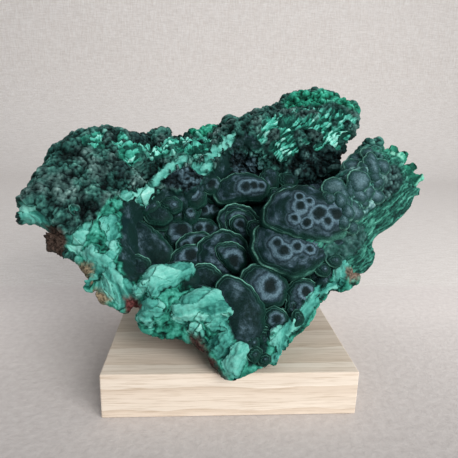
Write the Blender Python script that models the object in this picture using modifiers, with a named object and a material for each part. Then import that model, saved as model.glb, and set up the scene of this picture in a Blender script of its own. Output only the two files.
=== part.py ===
"""A malachite specimen standing on a square wooden display block.

The stone is one solid: a thick leaning plate, deep at its foot, with a hollow in its face that is
full of overlapping velvet lobes, a broad lumpy wing on its left and two wings that rise to its right.
It is shaped in its own face frame, in which x runs across the face, y runs up it and z comes out of it.
"""

import math

import bmesh
import bpy
import numpy as np
from mathutils import Matrix, Vector, noise

MM = 0.001

# The block, with its underside on the ground and its centre over the origin.
BLOCK_SIDE = 160 * MM
BLOCK_THICKNESS = 30 * MM
BLOCK_ARRIS = 0.8 * MM
ARRIS_SEGMENTS = 2

# The stone's face frame: its lowest tip, and how far the face leans back from upright.
TIP = Vector((0, -92, 33)) * MM
FACE_LEAN = math.radians(42)
REST_GAP = 0.4 * MM

# How fine the stone is made.
SHAPING_VOXEL = 3.0 * MM
JOINING_VOXEL = 2.3 * MM
STONE_TRIANGLES = 9500
SHEET_HALF = 9 * MM

# Outlines of the two plates that the stone is made of, across and up the face, in millimetres.
MAIN_OUTLINE = (
    (0, 0), (-4, 4), (-9, 10), (-16, 20), (-23, 24), (-30, 28), (-40, 28), (-46, 28), (-54, 32),
    (-58, 37), (-57, 46), (-63, 46), (-67, 43), (-73, 47), (-81, 50), (-85, 55), (-84, 58),
    (-90, 57), (-93, 61), (-87, 63), (-93, 69), (-99, 77), (-106, 82), (-116, 82), (-118, 86),
    (-116, 92), (-122, 96), (-128, 99), (-135, 100), (-137, 104), (-135, 112), (-134, 119),
    (-132, 126), (-132, 135), (-129, 139), (-125, 142), (-126, 158), (-122, 166), (-116, 176),
    (-107, 181), (-98, 185), (-92, 193), (-87, 190), (-76, 191), (-63, 193), (-59, 198), (-54, 203),
    (-47, 200), (-34, 198), (-27, 205), (-15, 212), (-3, 209), (3, 221), (13, 212), (17, 212),
    (22, 226), (27, 231), (34, 230), (42, 234), (52, 237), (55, 248), (63, 252), (79, 252),
    (84, 256), (88, 251), (96, 246), (100, 238), (111, 228), (111, 218), (108, 205), (107, 195),
    (100, 188), (96, 172), (89, 165), (90, 157), (86, 152), (96, 136), (100, 118), (95, 100),
    (88, 82), (84, 63), (74, 58), (66, 57), (59, 51), (53, 44), (48, 35), (43, 30), (35, 25),
    (32, 18), (30, 14), (26, 11), (23, 14), (11, 7), (6, 4),
)
RIGHT_OUTLINE = (
    (90, 155), (98, 170), (103, 175), (109, 178), (115, 179), (119, 175), (116, 168), (120, 168),
    (126, 171), (128, 166), (131, 162), (132, 154), (138, 149), (139, 144), (140, 137), (136, 132),
    (132, 123), (128, 115), (122, 109), (114, 102), (105, 97), (99, 92), (97, 87), (98, 80), (95, 73),
    (90, 68), (80, 66), (66, 66), (48, 70), (34, 78), (28, 92), (36, 106), (52, 120), (72, 138),
)
HOLLOW_OUTLINE = (
    (-75, 118), (-66, 124), (-56, 129), (-48, 137), (-32, 135), (-21, 143), (-9, 160), (0, 177),
    (15, 185), (31, 177), (45, 163), (60, 159), (76, 163), (86, 159), (88, 147), (89, 123), (85, 102),
    (78, 84), (70, 70), (59, 57), (47, 44), (39, 33), (28, 30), (21, 22), (18, 12), (9, 10), (8, 19),
    (-4, 26), (-1, 36), (-2, 44), (-11, 55), (-22, 56), (-30, 60), (-24, 66), (-25, 76), (-37, 74),
    (-46, 70), (-53, 62), (-64, 58), (-71, 71),
)
HOLLOW_WALL = 13
PALE_OUTLINE = (
    (0, -5), (-60, 20), (-142, 90), (-142, 112), (-122, 108), (-112, 96), (-88, 92), (-80, 118),
    (-66, 120), (-60, 70), (-40, 80), (-24, 76), (0, 44), (10, 18), (24, 32), (40, 36), (72, 74),
    (86, 84), (92, 70), (60, 42), (30, 2),
)
HOLLOW_FLOOR = 16

# Swells and dips of the main plate's face: a line from one end to the other, its reach and its rise.
MAIN_SWELLS = (
    ((-118, 108), (-98, 165), 40, 9),
    ((-80, 108), (-72, 150), 26, 6),
    ((-85, 75), (-45, 50), 20, 6),
    ((-50, 44), (-20, 44), 17, 4),
    ((10, 190), (100, 208), 26, 12),
    ((-60, 185), (0, 198), 18, -6),
    ((-72, 158), (-12, 176), 9, 4),
    ((-72, 148), (-62, 140), 9, -7),
    ((-50, 108), (-10, 118), 44, -12),
    ((-20, 95), (20, 140), 42, -6),
    ((30, 150), (84, 158), 22, -10),
    ((10, 40), (40, 60), 30, 5),
)
RIGHT_SWELLS = (
    ((50, 90), (112, 160), 34, 16),
    ((118, 160), (134, 145), 20, -5),
)
RIGHT_STAND_OFF = 6

# The rock behind the face: its thickness at the edge, how fast it thickens, and its foot.
EDGE_THICKNESS = 2
EDGE_TAPER = 1.75
SIDE_STRETCH = np.array((2, 1))
WALL_THICKNESS = 24
FOOT = ((-8, 50), (10, 95), 92, 96)
HOLLOW_BACKING = ((-35, 110), (35, 110), 85, 26)

# The rounded lobes and the broken pale lumps: centre across, up and out of the face, half-width,
# half-height and half-depth in millimetres, turn within the face, and tilt of the upper edge
# out of it, both in degrees.
LOBES = (
    (10, 145, -20, 21, 10, 9, 8, 10),  # bean
    (33, 157, -22, 8, 8, 7, 0, 10),  # knob high
    (49, 154, -20, 8, 6, 6, 0, 10),  # knob green
    (10, 125, -27, 17, 13, 9, -8, 20),  # shell back
    (16, 117, -21, 14, 11, 9, -20, 20),  # shell front
    (18, 109, -16, 7, 7, 7, 0, 20),  # shell eye
    (-16, 117, -31, 11, 8, 7, 5, 15),  # saddle
    (-32, 109, -32, 14, 12, 8, 0, 15),  # west disc
    (-23, 97, -26, 15, 10, 8, 15, 20),  # west step
    (-4, 92, -21, 20, 16, 10, 18, 20),  # great disc
    (1, 81, -14, 14, 13, 9, -15, 20),  # great eye
    (-16, 71, -14, 10, 9, 8, -10, 20),  # small disc
    (22, 60, -5, 15, 15, 10, -15, 20),  # round eye
    (5, 39, -4, 17, 25, 13, 15, 15),  # long dome
    (40, 81, 2, 29, 17, 14, -18, 10),  # lower pair
    (50, 102, 13, 27, 18, 16, -18, 10),  # upper pair
    (60, 129, 0, 9, 7, 7, 10, 10),  # brow
    (42, 136, -13, 8, 7, 6, 25, 10),  # brow left
    (36, 133, -19, 5, 5, 5, 0, 10),  # nook
    (69, 77, -7, 8, 8, 6, 0, 10),  # shade coil
    (48, 52, -6, 12, 13, 8, 0, 15),  # south coil
    (58, 68, -7, 8, 7, 6, -20, 10),  # south bud
    (27, 39, -4, 8, 8, 7, 0, 15),  # tip dome
    (-27, 59, -12, 7, 6, 7, -10, 15),  # behind fold
    (-57, 97, -27, 20, 9, 7, -38, 10),  # long slope
    (-21, 138, -19, 10, 8, 6, 15, 10),  # hollow a
    (-28, 129, -26, 10, 8, 6, -10, 10),  # hollow b
    (-12, 133, -34, 9, 7, 7, 0, 10),  # hollow c
    (-52, 124, -20, 13, 8, 6, 18, 10),  # hollow d
    (-40, 132, -15, 10, 6, 6, 18, 10),  # hollow e
    (-58, 115, -27, 10, 8, 6, 10, 10),  # hollow f
    (-4, 155, -22, 9, 7, 6, 0, 10),  # hollow g
    (19, 13, -2, 5, 4, 4, 20, 0),  # tip bud
    (11, 17, -2, 4, 5, 5, 0, 10),  # tip bead
    (5, 167, -15, 7, 8, 7, 0, 0),  # grape a
    (16, 173, -14, 8, 8, 7, 0, 0),  # grape b
    (22, 164, -18, 6, 7, 6, 0, 0),  # grape c
    (12, 161, -20, 6, 6, 6, 0, 0),  # grape d
    (77, 115, 16, 8, 14, 8, -35, 0),  # coil a
    (87, 126, 19, 10, 9, 9, 0, 0),  # coil b
    (101, 146, 17, 10, 12, 8, -20, 0),  # coil c
    (68, 111, 15, 6, 12, 8, -25, 0),  # coil d
    (83, 107, 13, 8, 7, 7, -30, 0),  # coil e
    (-16, 43, 4, 18, 11, 12, 4, 0),  # pale pillow
    (-47, 41, 2, 9, 9, 10, 0, 0),  # pale knob
    (-39, 60, 5, 17, 6, 9, 32, 0),  # pale fold
    (2, 13, -3, 8, 10, 6, -20, 0),  # pale tip
    (-33, 46, 4, 6, 6, 7, 0, 0),  # pale bud
    (-76, 66, 5, 13, 9, 6, 30, 0),  # pale shelf
    (30, 22, -2, 5, 7, 7, 20, 0),  # pale edge
    (-116, 90, -2, 9, 6, 7, 15, 0),  # brown rock under the left wing
    (-81, 56, -6, 6, 5, 6, 0, 0),  # tan rock
    (86, 70, -4, 8, 6, 6, 35, 0),  # brown rock under the right wing
)
LOBE_DETAIL = 3

# The druse of small domes that covers the wings, and the rougher rock of the back: the size of
# the lumps and how far they rise.
DRUSE_CELL = 11
DRUSE_RISE = 3.4
ROCK_CELLS = ((38, 12), (15, 3.5))
LUMP_REACH = 0.8


def segment_distance(points, start, end):
    """The distance of each point, across and up the face, from a straight line between two places."""
    start, end = np.array(start, float), np.array(end, float)
    along = end - start
    share = np.clip(((points - start) @ along) / max(along @ along, 1e-9), 0, 1)
    return np.linalg.norm(points - start - share[:, None] * along, axis=1)


def edge_distance(points, outline):
    """How far each point lies inside a closed outline: positive inside it and negative outside."""
    corners = np.array(outline, float)
    nearest = np.full(len(points), np.inf)
    inside = np.zeros(len(points), bool)
    for start, end in zip(corners, np.roll(corners, -1, axis=0)):
        nearest = np.minimum(nearest, segment_distance(points, start, end))
        crosses = (start[1] > points[:, 1]) != (end[1] > points[:, 1])
        rise = end[1] - start[1] if end[1] != start[1] else 1e-9
        meets = start[0] + (points[:, 1] - start[1]) / rise * (end[0] - start[0])
        inside ^= crosses & (points[:, 0] < meets)
    return np.where(inside, nearest, -nearest)


def smooth_step(share):
    share = np.clip(share, 0, 1)
    return share * share * (3 - 2 * share)


def swell(points, start, end, reach, rise):
    """A rounded ridge, or a dip if rise is negative, along the line from start to end."""
    share = np.clip(segment_distance(points, start, end) / reach, 0, 1)
    return rise * (1 - share**2) ** 2


def rim_level(points):
    """The height of the plate's rim out of the face: the wings come forward and the top leans back."""
    return 0.0011 * points[:, 0] ** 2 - 0.0004 * points[:, 1] ** 2


def main_front(points):
    """The height of the main plate's face, with its hollow."""
    height = rim_level(points)
    for start, end, reach, rise in MAIN_SWELLS:
        height += swell(points, start, end, reach, rise)
    height -= HOLLOW_FLOOR * smooth_step(edge_distance(points, HOLLOW_OUTLINE) / HOLLOW_WALL)
    inset = edge_distance(points, MAIN_OUTLINE)
    return height - 7 * (1 - smooth_step(inset / 12))


def main_back(points):
    """The height of the main plate's back, which tapers to the rim and is deep at the foot."""
    inset = np.maximum(edge_distance(points * SIDE_STRETCH, np.array(MAIN_OUTLINE) * SIDE_STRETCH), 0)
    thickness = WALL_THICKNESS + swell(points, *FOOT) + swell(points, *HOLLOW_BACKING)
    taper = EDGE_THICKNESS + EDGE_TAPER * inset
    return rim_level(points) - 7 - np.minimum(thickness, taper)


def right_front(points):
    """The height of the right wing's face, which stands proud of the hollow."""
    height = rim_level(points) + RIGHT_STAND_OFF
    for start, end, reach, rise in RIGHT_SWELLS:
        height += swell(points, start, end, reach, rise)
    inset = edge_distance(points, RIGHT_OUTLINE)
    return height - 9 * (1 - smooth_step(inset / 14))


def right_back(points):
    inset = np.maximum(edge_distance(points, RIGHT_OUTLINE), 0)
    return rim_level(points) - 6 - np.minimum(20, EDGE_THICKNESS + EDGE_TAPER * inset)


def settled(obj, name):
    """A plain mesh object of what an object's modifiers make, in place of that object."""
    bpy.context.view_layer.update()
    evaluated = obj.evaluated_get(bpy.context.evaluated_depsgraph_get())
    mesh = bpy.data.meshes.new_from_object(evaluated)
    bpy.data.objects.remove(obj)
    made = bpy.data.objects.new(name, mesh)
    bpy.context.scene.collection.objects.link(made)
    return made


def vertex_places(mesh):
    """The vertices as rows of across, up and out, in millimetres."""
    places = np.empty(len(mesh.vertices) * 3, np.float32)
    mesh.vertices.foreach_get("co", places)
    return places.reshape(-1, 3).astype(float) / MM


def move_vertices(mesh, places):
    mesh.vertices.foreach_set("co", (places * MM).astype(np.float32).ravel())
    mesh.update()


def remesh(obj, voxel):
    modifier = obj.modifiers.new("fuse", "REMESH")
    modifier.mode = "VOXEL"
    modifier.voxel_size = voxel
    return settled(obj, obj.name)


def plate(name, outline, front, back):
    """A closed plate with this outline, whose two faces follow the functions front and back."""
    curve = bpy.data.curves.new(name, "CURVE")
    curve.dimensions = "2D"
    curve.fill_mode = "BOTH"
    curve.extrude = SHEET_HALF
    spline = curve.splines.new("POLY")
    spline.points.add(len(outline) - 1)
    for point, (across, up) in zip(spline.points, outline):
        point.co = (across * MM, up * MM, 0, 1)
    spline.use_cyclic_u = True
    obj = bpy.data.objects.new(name, curve)
    bpy.context.scene.collection.objects.link(obj)
    obj = settled(obj, name)
    weld(obj.data)
    obj = remesh(obj, SHAPING_VOXEL)
    places = vertex_places(obj.data)
    share = (places[:, 2] * MM + SHEET_HALF) / (2 * SHEET_HALF)
    flat = places[:, :2]
    places[:, 2] = back(flat) + (front(flat) - back(flat)) * share
    move_vertices(obj.data, places)
    return obj


def weld(mesh):
    bm = bmesh.new()
    bm.from_mesh(mesh)
    bmesh.ops.remove_doubles(bm, verts=bm.verts, dist=0.01 * MM)
    bmesh.ops.recalc_face_normals(bm, faces=bm.faces)
    bm.to_mesh(mesh)
    bm.free()


def join(name, objects):
    """One mesh object that holds the meshes of several."""
    bm = bmesh.new()
    for obj in objects:
        bm.from_mesh(obj.data)
        bpy.data.objects.remove(obj)
    mesh = bpy.data.meshes.new(name)
    bm.to_mesh(mesh)
    bm.free()
    joined = bpy.data.objects.new(name, mesh)
    bpy.context.scene.collection.objects.link(joined)
    return joined


def lobe(across, up, out, half_width, half_height, half_depth, turn, tilt):
    """A flattened ball that is turned within the face and tilted out of it."""
    place = Matrix.Translation(Vector((across, up, out)) * MM)
    turned = Matrix.Rotation(math.radians(turn), 4, "Z") @ Matrix.Rotation(math.radians(tilt), 4, "X")
    size = Matrix.Diagonal((half_width * MM, half_height * MM, half_depth * MM, 1))
    bm = bmesh.new()
    bmesh.ops.create_icosphere(bm, subdivisions=LOBE_DETAIL, radius=1, matrix=place @ turned @ size)
    mesh = bpy.data.meshes.new("lobe")
    bm.to_mesh(mesh)
    bm.free()
    obj = bpy.data.objects.new("lobe", mesh)
    bpy.context.scene.collection.objects.link(obj)
    return obj


def dome(place, cell):
    """How high a place stands, from 0 to 1, on a surface packed with rounded lumps."""
    nearest = noise.voronoi(Vector(place) / cell)[0][0]
    return 1 - min(nearest / LUMP_REACH, 1) ** 2


def roughen(mesh):
    """Raises the druse on the wings and the rough rock on the back."""
    places = vertex_places(mesh)
    normals = np.empty(len(places) * 3, np.float32)
    mesh.vertices.foreach_get("normal", normals)
    normals = normals.reshape(-1, 3)
    flat = places[:, :2]
    outside = smooth_step(-edge_distance(flat, HOLLOW_OUTLINE) / 8)
    wing = smooth_step((edge_distance(flat, RIGHT_OUTLINE) + 2) / 6)
    crust = smooth_step(edge_distance(flat, PALE_OUTLINE) / 8)
    druse = np.maximum(outside, wing * 0.6) * (1 - crust)
    front = smooth_step((normals[:, 2] + 0.7) / 0.5)
    for index, place in enumerate(places.copy()):
        small = DRUSE_RISE * dome(place, DRUSE_CELL) * druse[index]
        large = sum(rise * (dome(place, cell) - 1) for cell, rise in ROCK_CELLS)
        rise = front[index] * small + (1 - front[index]) * large
        places[index] += normals[index] * (rise - DRUSE_RISE / 2 * druse[index] * front[index])
    move_vertices(mesh, places)


def rest_on_block(mesh):
    """Flattens what would sink into the block, so that the stone rests on it with a small gap."""
    floor = (BLOCK_THICKNESS + REST_GAP - TIP.z) / MM
    upright = np.array((0, math.cos(FACE_LEAN), math.sin(FACE_LEAN)))
    places = vertex_places(mesh)
    places += np.maximum(floor - places @ upright, 0)[:, None] * upright
    move_vertices(mesh, places)


def make_stone():
    parts = [
        plate("main_plate", MAIN_OUTLINE, main_front, main_back),
        plate("right_wing", RIGHT_OUTLINE, right_front, right_back),
    ]
    parts += [lobe(*sizes) for sizes in LOBES]
    stone = remesh(join("malachite", parts), JOINING_VOXEL)
    roughen(stone.data)
    decimate = stone.modifiers.new("thin", "DECIMATE")
    stone.data.calc_loop_triangles()
    decimate.ratio = STONE_TRIANGLES / len(stone.data.loop_triangles)
    stone = settled(stone, "malachite")
    rest_on_block(stone.data)
    stone.location = TIP
    stone.rotation_euler = (math.pi / 2 - FACE_LEAN, 0, 0)
    stone.data.materials.append(material("velvet_malachite", (0.015, 0.09, 0.07), 0.7))
    return stone


def make_block():
    bpy.ops.mesh.primitive_cube_add(size=1, location=(0, 0, BLOCK_THICKNESS / 2))
    block = bpy.context.object
    block.name = "wood_block"
    block.dimensions = (BLOCK_SIDE, BLOCK_SIDE, BLOCK_THICKNESS)
    bpy.ops.object.transform_apply(location=False, rotation=False, scale=True)
    bevel = block.modifiers.new("arris", "BEVEL")
    bevel.width = BLOCK_ARRIS
    bevel.segments = ARRIS_SEGMENTS
    block.data.materials.append(material("pale_wood", (0.7, 0.55, 0.38), 0.6))
    return block


def material(name, colour, roughness):
    made = bpy.data.materials.new(name)
    made.use_nodes = True
    shader = made.node_tree.nodes["Principled BSDF"]
    shader.inputs["Base Color"].default_value = (*colour, 1)
    shader.inputs["Roughness"].default_value = roughness
    return made


def main():
    for obj in list(bpy.data.objects):
        bpy.data.objects.remove(obj)
    collection = bpy.data.collections.new("malachite_specimen")
    bpy.context.scene.collection.children.link(collection)
    for obj in (make_block(), make_stone()):
        for held in list(obj.users_collection):
            held.objects.unlink(obj)
        collection.objects.link(obj)


main()
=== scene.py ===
# %% [markdown]
# # A malachite specimen on a wooden display block
# The stone is one leaning slab of velvet malachite. A druse, which is a crust of tiny grown domes,
# covers its wings. Overlapping velvet lobes fill a hollow in its face, and the broken lower rim
# shows the pale fibrous inside. The slab is shaped in a face frame of its own: u runs across the
# face, v runs up it and w comes out of it, all in millimetres, and one function turns that frame
# into the room's. Everything on the stone is placed in that frame, so the pieces always meet.

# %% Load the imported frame
import bmesh
import bpy
import math
import numpy as np
from mathutils import Matrix, Vector, noise


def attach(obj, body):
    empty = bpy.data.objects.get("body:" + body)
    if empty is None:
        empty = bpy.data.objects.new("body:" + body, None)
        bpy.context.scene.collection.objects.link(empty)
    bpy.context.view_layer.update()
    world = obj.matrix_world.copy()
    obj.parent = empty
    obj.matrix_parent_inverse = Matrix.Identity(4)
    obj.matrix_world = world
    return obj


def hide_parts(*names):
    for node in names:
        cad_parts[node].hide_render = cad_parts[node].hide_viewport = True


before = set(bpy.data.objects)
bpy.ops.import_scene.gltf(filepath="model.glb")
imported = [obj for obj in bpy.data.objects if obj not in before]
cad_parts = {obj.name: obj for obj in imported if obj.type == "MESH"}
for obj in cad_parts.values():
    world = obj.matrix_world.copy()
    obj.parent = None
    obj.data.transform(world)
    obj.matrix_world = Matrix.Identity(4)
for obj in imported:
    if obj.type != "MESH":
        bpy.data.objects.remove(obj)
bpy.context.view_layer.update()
MM = 0.001

# %% [markdown]
# The face leans 42 degrees back from upright, and its lowest tip stands at the front edge of the
# block. The block's top is the floor that nothing of the stone may sink through.

# %% The face frame
TIP = Vector((0, -92, 33)) * MM
FACE_LEAN = math.radians(42)
BLOCK_TOP = 30 * MM
REST_GAP = 0.4 * MM
TO_ROOM = Matrix.Translation(TIP) @ Matrix.Rotation(math.pi / 2 - FACE_LEAN, 4, "X")


def into_room(places):
    """Face-frame millimetres, as rows of u, v, w, to metres in the room, lifted clear of the block."""
    turn = np.array(TO_ROOM.to_3x3())
    room = places @ turn.T * MM + np.array(TO_ROOM.translation)
    room[:, 2] = np.maximum(room[:, 2], BLOCK_TOP + REST_GAP)
    return room


# %% [markdown]
# Outlines are traced as corners across and up the face. The main slab carries the left
# wing, the hollow and the upper wing, and the right wing stands in front of it as its own slab.

# %% Outlines of the slabs and of the hollow
MAIN_OUTLINE = (
    (0, 0), (-4, 4), (-9, 10), (-16, 20), (-23, 24), (-30, 28), (-40, 28), (-46, 28), (-54, 32),
    (-58, 37), (-57, 46), (-63, 46), (-67, 43), (-73, 47), (-81, 50), (-85, 55), (-84, 58),
    (-90, 57), (-93, 61), (-87, 63), (-93, 69), (-99, 77), (-106, 82), (-116, 82), (-118, 86),
    (-116, 92), (-122, 96), (-128, 99), (-135, 100), (-137, 104), (-135, 112), (-134, 119),
    (-132, 126), (-132, 135), (-129, 139), (-125, 142), (-126, 158), (-122, 166), (-116, 176),
    (-107, 181), (-98, 185), (-92, 193), (-87, 190), (-76, 191), (-63, 193), (-59, 198), (-54, 203),
    (-47, 200), (-34, 198), (-27, 205), (-15, 212), (-3, 209), (3, 221), (13, 212), (17, 212),
    (22, 226), (27, 231), (34, 230), (42, 234), (52, 237), (55, 248), (63, 252), (79, 252),
    (84, 256), (88, 251), (96, 246), (100, 238), (107, 228), (108, 218), (105, 205), (102, 194),
    (95, 184), (91, 171), (85, 163), (86, 156), (84, 151), (96, 136), (100, 118), (95, 100),
    (88, 82), (84, 63), (74, 58), (66, 57), (59, 51), (53, 44), (48, 35), (43, 30), (35, 25),
    (32, 18), (30, 14), (26, 11), (23, 14), (11, 7), (6, 4),
)
RIGHT_OUTLINE = (
    (88, 148), (92, 157), (96, 163), (102, 168), (109, 170), (114, 167), (114, 161), (118, 159),
    (123, 165), (127, 162), (130, 158), (132, 152), (137, 148), (139, 143), (140, 137), (136, 132),
    (132, 123), (128, 115), (122, 109), (114, 102), (105, 97), (99, 92), (97, 87), (98, 80), (95, 73),
    (90, 68), (80, 66), (66, 66), (48, 70), (34, 78), (28, 92), (36, 106), (52, 120), (72, 138),
)
HOLLOW_OUTLINE = (
    (-75, 118), (-66, 124), (-56, 129), (-48, 137), (-32, 135), (-21, 143), (-9, 160), (0, 177),
    (15, 185), (31, 177), (45, 163), (60, 159), (76, 163), (86, 159), (88, 147), (89, 123), (85, 102),
    (78, 84), (70, 70), (59, 57), (47, 44), (39, 33), (28, 30), (21, 22), (18, 12), (9, 10), (8, 19),
    (-4, 26), (-1, 36), (-2, 44), (-11, 55), (-22, 56), (-30, 60), (-24, 66), (-25, 76), (-37, 74),
    (-46, 70), (-53, 62), (-64, 58), (-71, 71),
)

# %% [markdown]
# The face is a height above the face plane. Broad swells and dips give the wings and the hollow,
# as if pressed by hand into clay. All are the same rounded stroke: a line with a reach and a rise.

# %% The height of the face
HOLLOW_WALL = 13
HOLLOW_FLOOR = 16
MAIN_SWELLS = (
    ((-118, 108), (-98, 165), 40, 9),
    ((-80, 108), (-72, 150), 26, 6),
    ((-85, 75), (-45, 50), 20, 6),
    ((-50, 44), (-20, 44), 17, 4),
    ((10, 190), (100, 208), 26, 12),
    ((-60, 185), (0, 198), 18, -6),
    ((-72, 158), (-12, 176), 9, 4),
    ((-72, 148), (-62, 140), 9, -7),
    ((-50, 108), (-10, 118), 44, -12),
    ((-20, 95), (20, 140), 42, -6),
    ((30, 150), (84, 158), 22, -10),
    ((10, 40), (40, 60), 30, 5),
)
RIGHT_SWELLS = (
    ((50, 90), (112, 160), 34, 16),
    ((118, 160), (134, 145), 20, -5),
    ((44, 80), (64, 92), 20, -5),
)
RIGHT_STAND_OFF = 6


def segment_distance(points, start, end):
    start, end = np.array(start, float), np.array(end, float)
    along = end - start
    share = np.clip(((points - start) @ along) / max(along @ along, 1e-9), 0, 1)
    return np.linalg.norm(points - start - share[:, None] * along, axis=1)


def edge_distance(points, outline):
    """How far each point lies inside a closed outline, negative outside it."""
    corners = np.array(outline, float)
    nearest = np.full(len(points), np.inf)
    inside = np.zeros(len(points), bool)
    for start, end in zip(corners, np.roll(corners, -1, axis=0)):
        nearest = np.minimum(nearest, segment_distance(points, start, end))
        crosses = (start[1] > points[:, 1]) != (end[1] > points[:, 1])
        rise = end[1] - start[1] if end[1] != start[1] else 1e-9
        meets = start[0] + (points[:, 1] - start[1]) / rise * (end[0] - start[0])
        inside ^= crosses & (points[:, 0] < meets)
    return np.where(inside, nearest, -nearest)


def smooth_step(share):
    share = np.clip(share, 0, 1)
    return share * share * (3 - 2 * share)


def swell(points, start, end, reach, rise):
    share = np.clip(segment_distance(points, start, end) / reach, 0, 1)
    return rise * (1 - share**2) ** 2


def rim_level(points):
    return 0.0011 * points[:, 0] ** 2 - 0.0004 * points[:, 1] ** 2


# %% [markdown]
# Where the slab broke, the pale inside of the crust shows as thick lips, folds and knobs. Each is
# an outline that is raised from the face with a rounded edge. The same outlines later paint them
# pale, so colour and form can't drift apart.

# %% The pale broken forms: rise, width of the rounded edge, heading of the fibres, outline
CHIPS = {
    "left_rim": (0.8, 3, -25, (
        (-139, 107), (-136, 109), (-129, 105), (-124, 105), (-121, 101), (-118, 98), (-116, 96),
        (-112, 91), (-108, 89), (-104, 89), (-100, 90), (-96, 96), (-91, 99), (-91, 96), (-93, 89),
        (-94, 82), (-96, 77), (-100, 80), (-105, 83), (-110, 85), (-115, 90), (-121, 94),
        (-128, 98), (-134, 100),
    )),
    "hook": (1.5, 2.5, -30, (
        (-95, 79), (-90, 80), (-85, 80), (-83, 74), (-80, 74), (-78, 79), (-74, 82), (-73, 76),
        (-75, 71), (-78, 67), (-82, 64), (-85, 61), (-89, 59), (-94, 60), (-96, 64), (-92, 65),
        (-88, 64), (-87, 67), (-91, 72),
    )),
    "slab": (1.5, 2.5, -70, (
        (-78, 68), (-75, 70), (-72, 65), (-70, 62), (-64, 58), (-61, 55), (-57, 53), (-53, 56),
        (-53, 52), (-58, 49), (-64, 47), (-69, 45), (-75, 50), (-80, 51), (-85, 55), (-85, 59),
        (-82, 62),
    )),
    "wall_fold": (3, 6, 80, (
        (-87, 99), (-83, 105), (-79, 107), (-75, 106), (-74, 101), (-74, 94), (-74, 85), (-75, 79),
        (-79, 79), (-81, 87), (-83, 93), (-85, 97),
    )),
    "ledge": (4, 4, 40, (
        (-76, 124), (-73, 127), (-68, 128), (-64, 132), (-57, 137), (-54, 144), (-48, 154),
        (-42, 158), (-36, 163), (-30, 165), (-31, 158), (-39, 154), (-45, 149), (-49, 143),
        (-52, 136), (-55, 129), (-58, 124), (-64, 121), (-67, 124), (-70, 122), (-75, 121),
    )),
    "ledge_right": (3, 4, 20, (
        (-30, 160), (-21, 158), (-12, 163), (-11, 158), (-17, 152), (-21, 152), (-25, 155),
    )),
    "streak": (2.5, 4, 50, (
        (-19, 163), (-15, 170), (-8, 176), (-4, 181), (1, 184), (7, 186), (4, 178), (-4, 174),
        (-7, 168), (-12, 163), (-16, 160),
    )),
    "fleck": (1.5, 2, 0, (
        (-104, 103), (-102, 106), (-99, 105), (-100, 102), (-103, 101),
    )),
    "fold": (6, 7, 35, (
        (-57, 70), (-53, 75), (-46, 75), (-41, 73), (-37, 77), (-30, 78), (-25, 75), (-24, 69),
        (-27, 63), (-33, 61), (-37, 55), (-43, 53), (-46, 48), (-50, 46), (-51, 53), (-53, 53),
        (-58, 50), (-62, 53), (-57, 56), (-54, 62), (-54, 68),
    )),
    "knobs": (7, 8, 0, (
        (-57, 47), (-52, 48), (-45, 44), (-40, 42), (-42, 38), (-47, 37), (-49, 33), (-53, 34),
        (-57, 36), (-59, 40), (-58, 44),
    )),
    "pillow": (10, 10, 15, (
        (-37, 40), (-35, 44), (-32, 43), (-31, 48), (-26, 52), (-22, 56), (-16, 57), (-8, 55),
        (-3, 49), (1, 43), (0, 38), (-4, 35), (-10, 33), (-17, 35), (-22, 36), (-30, 35),
        (-34, 36), (-37, 37),
    )),
    "under_a": (3, 4, 60, (
        (-30, 34), (-23, 35), (-19, 34), (-17, 27), (-15, 23), (-21, 27), (-26, 31),
    )),
    "under_b": (5, 5, 50, (
        (-16, 33), (-11, 34), (-6, 35), (-2, 32), (0, 25), (0, 20), (-3, 16), (-7, 14), (-11, 19),
        (-15, 22), (-12, 25), (-7, 27), (-4, 29), (-11, 29),
    )),
    "tip": (5, 6, 55, (
        (-6, 14), (-3, 17), (0, 21), (4, 22), (8, 20), (10, 15), (7, 12), (6, 9), (4, 5), (1, 2),
        (-3, 6), (-6, 10),
    )),
    "tongue": (5, 5, 70, (
        (22, 24), (23, 28), (28, 31), (33, 34), (36, 37), (42, 38), (45, 35), (41, 30), (36, 28),
        (33, 25), (33, 20), (33, 16), (31, 13), (26, 12), (24, 15), (28, 17), (27, 21), (23, 22),
    )),
    "right_rim": (3, 3, 40, (
        (41, 35), (43, 41), (48, 47), (48, 51), (53, 56), (59, 60), (56, 54), (62, 59), (69, 62),
        (75, 61), (71, 59), (64, 56), (56, 49), (51, 43), (47, 38), (44, 32),
    )),
    "right_chunk": (5, 4, 75, (
        (69, 61), (68, 67), (72, 74), (76, 78), (79, 76), (76, 69), (75, 63), (72, 59),
    )),
}


KNOBBLY = ("ledge", "ledge_right", "streak", "wall_fold", "knobs", "fleck")


def raised(points, rise, edge, outline):
    """A pad with this outline: its height climbs a quarter round over the width of its edge."""
    inset = np.clip(edge_distance(points, outline) / edge, 0, 1)
    return rise * np.sqrt(1 - (1 - inset) ** 2)


def main_front(points):
    height = rim_level(points)
    for start, end, reach, rise in MAIN_SWELLS:
        height += swell(points, start, end, reach, rise)
    height -= HOLLOW_FLOOR * smooth_step(edge_distance(points, HOLLOW_OUTLINE) / HOLLOW_WALL)
    height -= 7 * (1 - smooth_step(edge_distance(points, MAIN_OUTLINE) / 12))
    for rise, edge, heading, outline in CHIPS.values():
        height += raised(points, rise, edge, outline)
    return height


def right_front(points):
    height = rim_level(points) + RIGHT_STAND_OFF
    for start, end, reach, rise in RIGHT_SWELLS:
        height += swell(points, start, end, reach, rise)
    return height - 9 * (1 - smooth_step(edge_distance(points, RIGHT_OUTLINE) / 14))


# %% [markdown]
# Behind the face the rock tapers to a thin rim and is deep at the foot it stands on. The taper is
# gentle, so from the front the rim hides the rock behind it, as it does on a plate that is broken
# from a cave wall.

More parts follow.
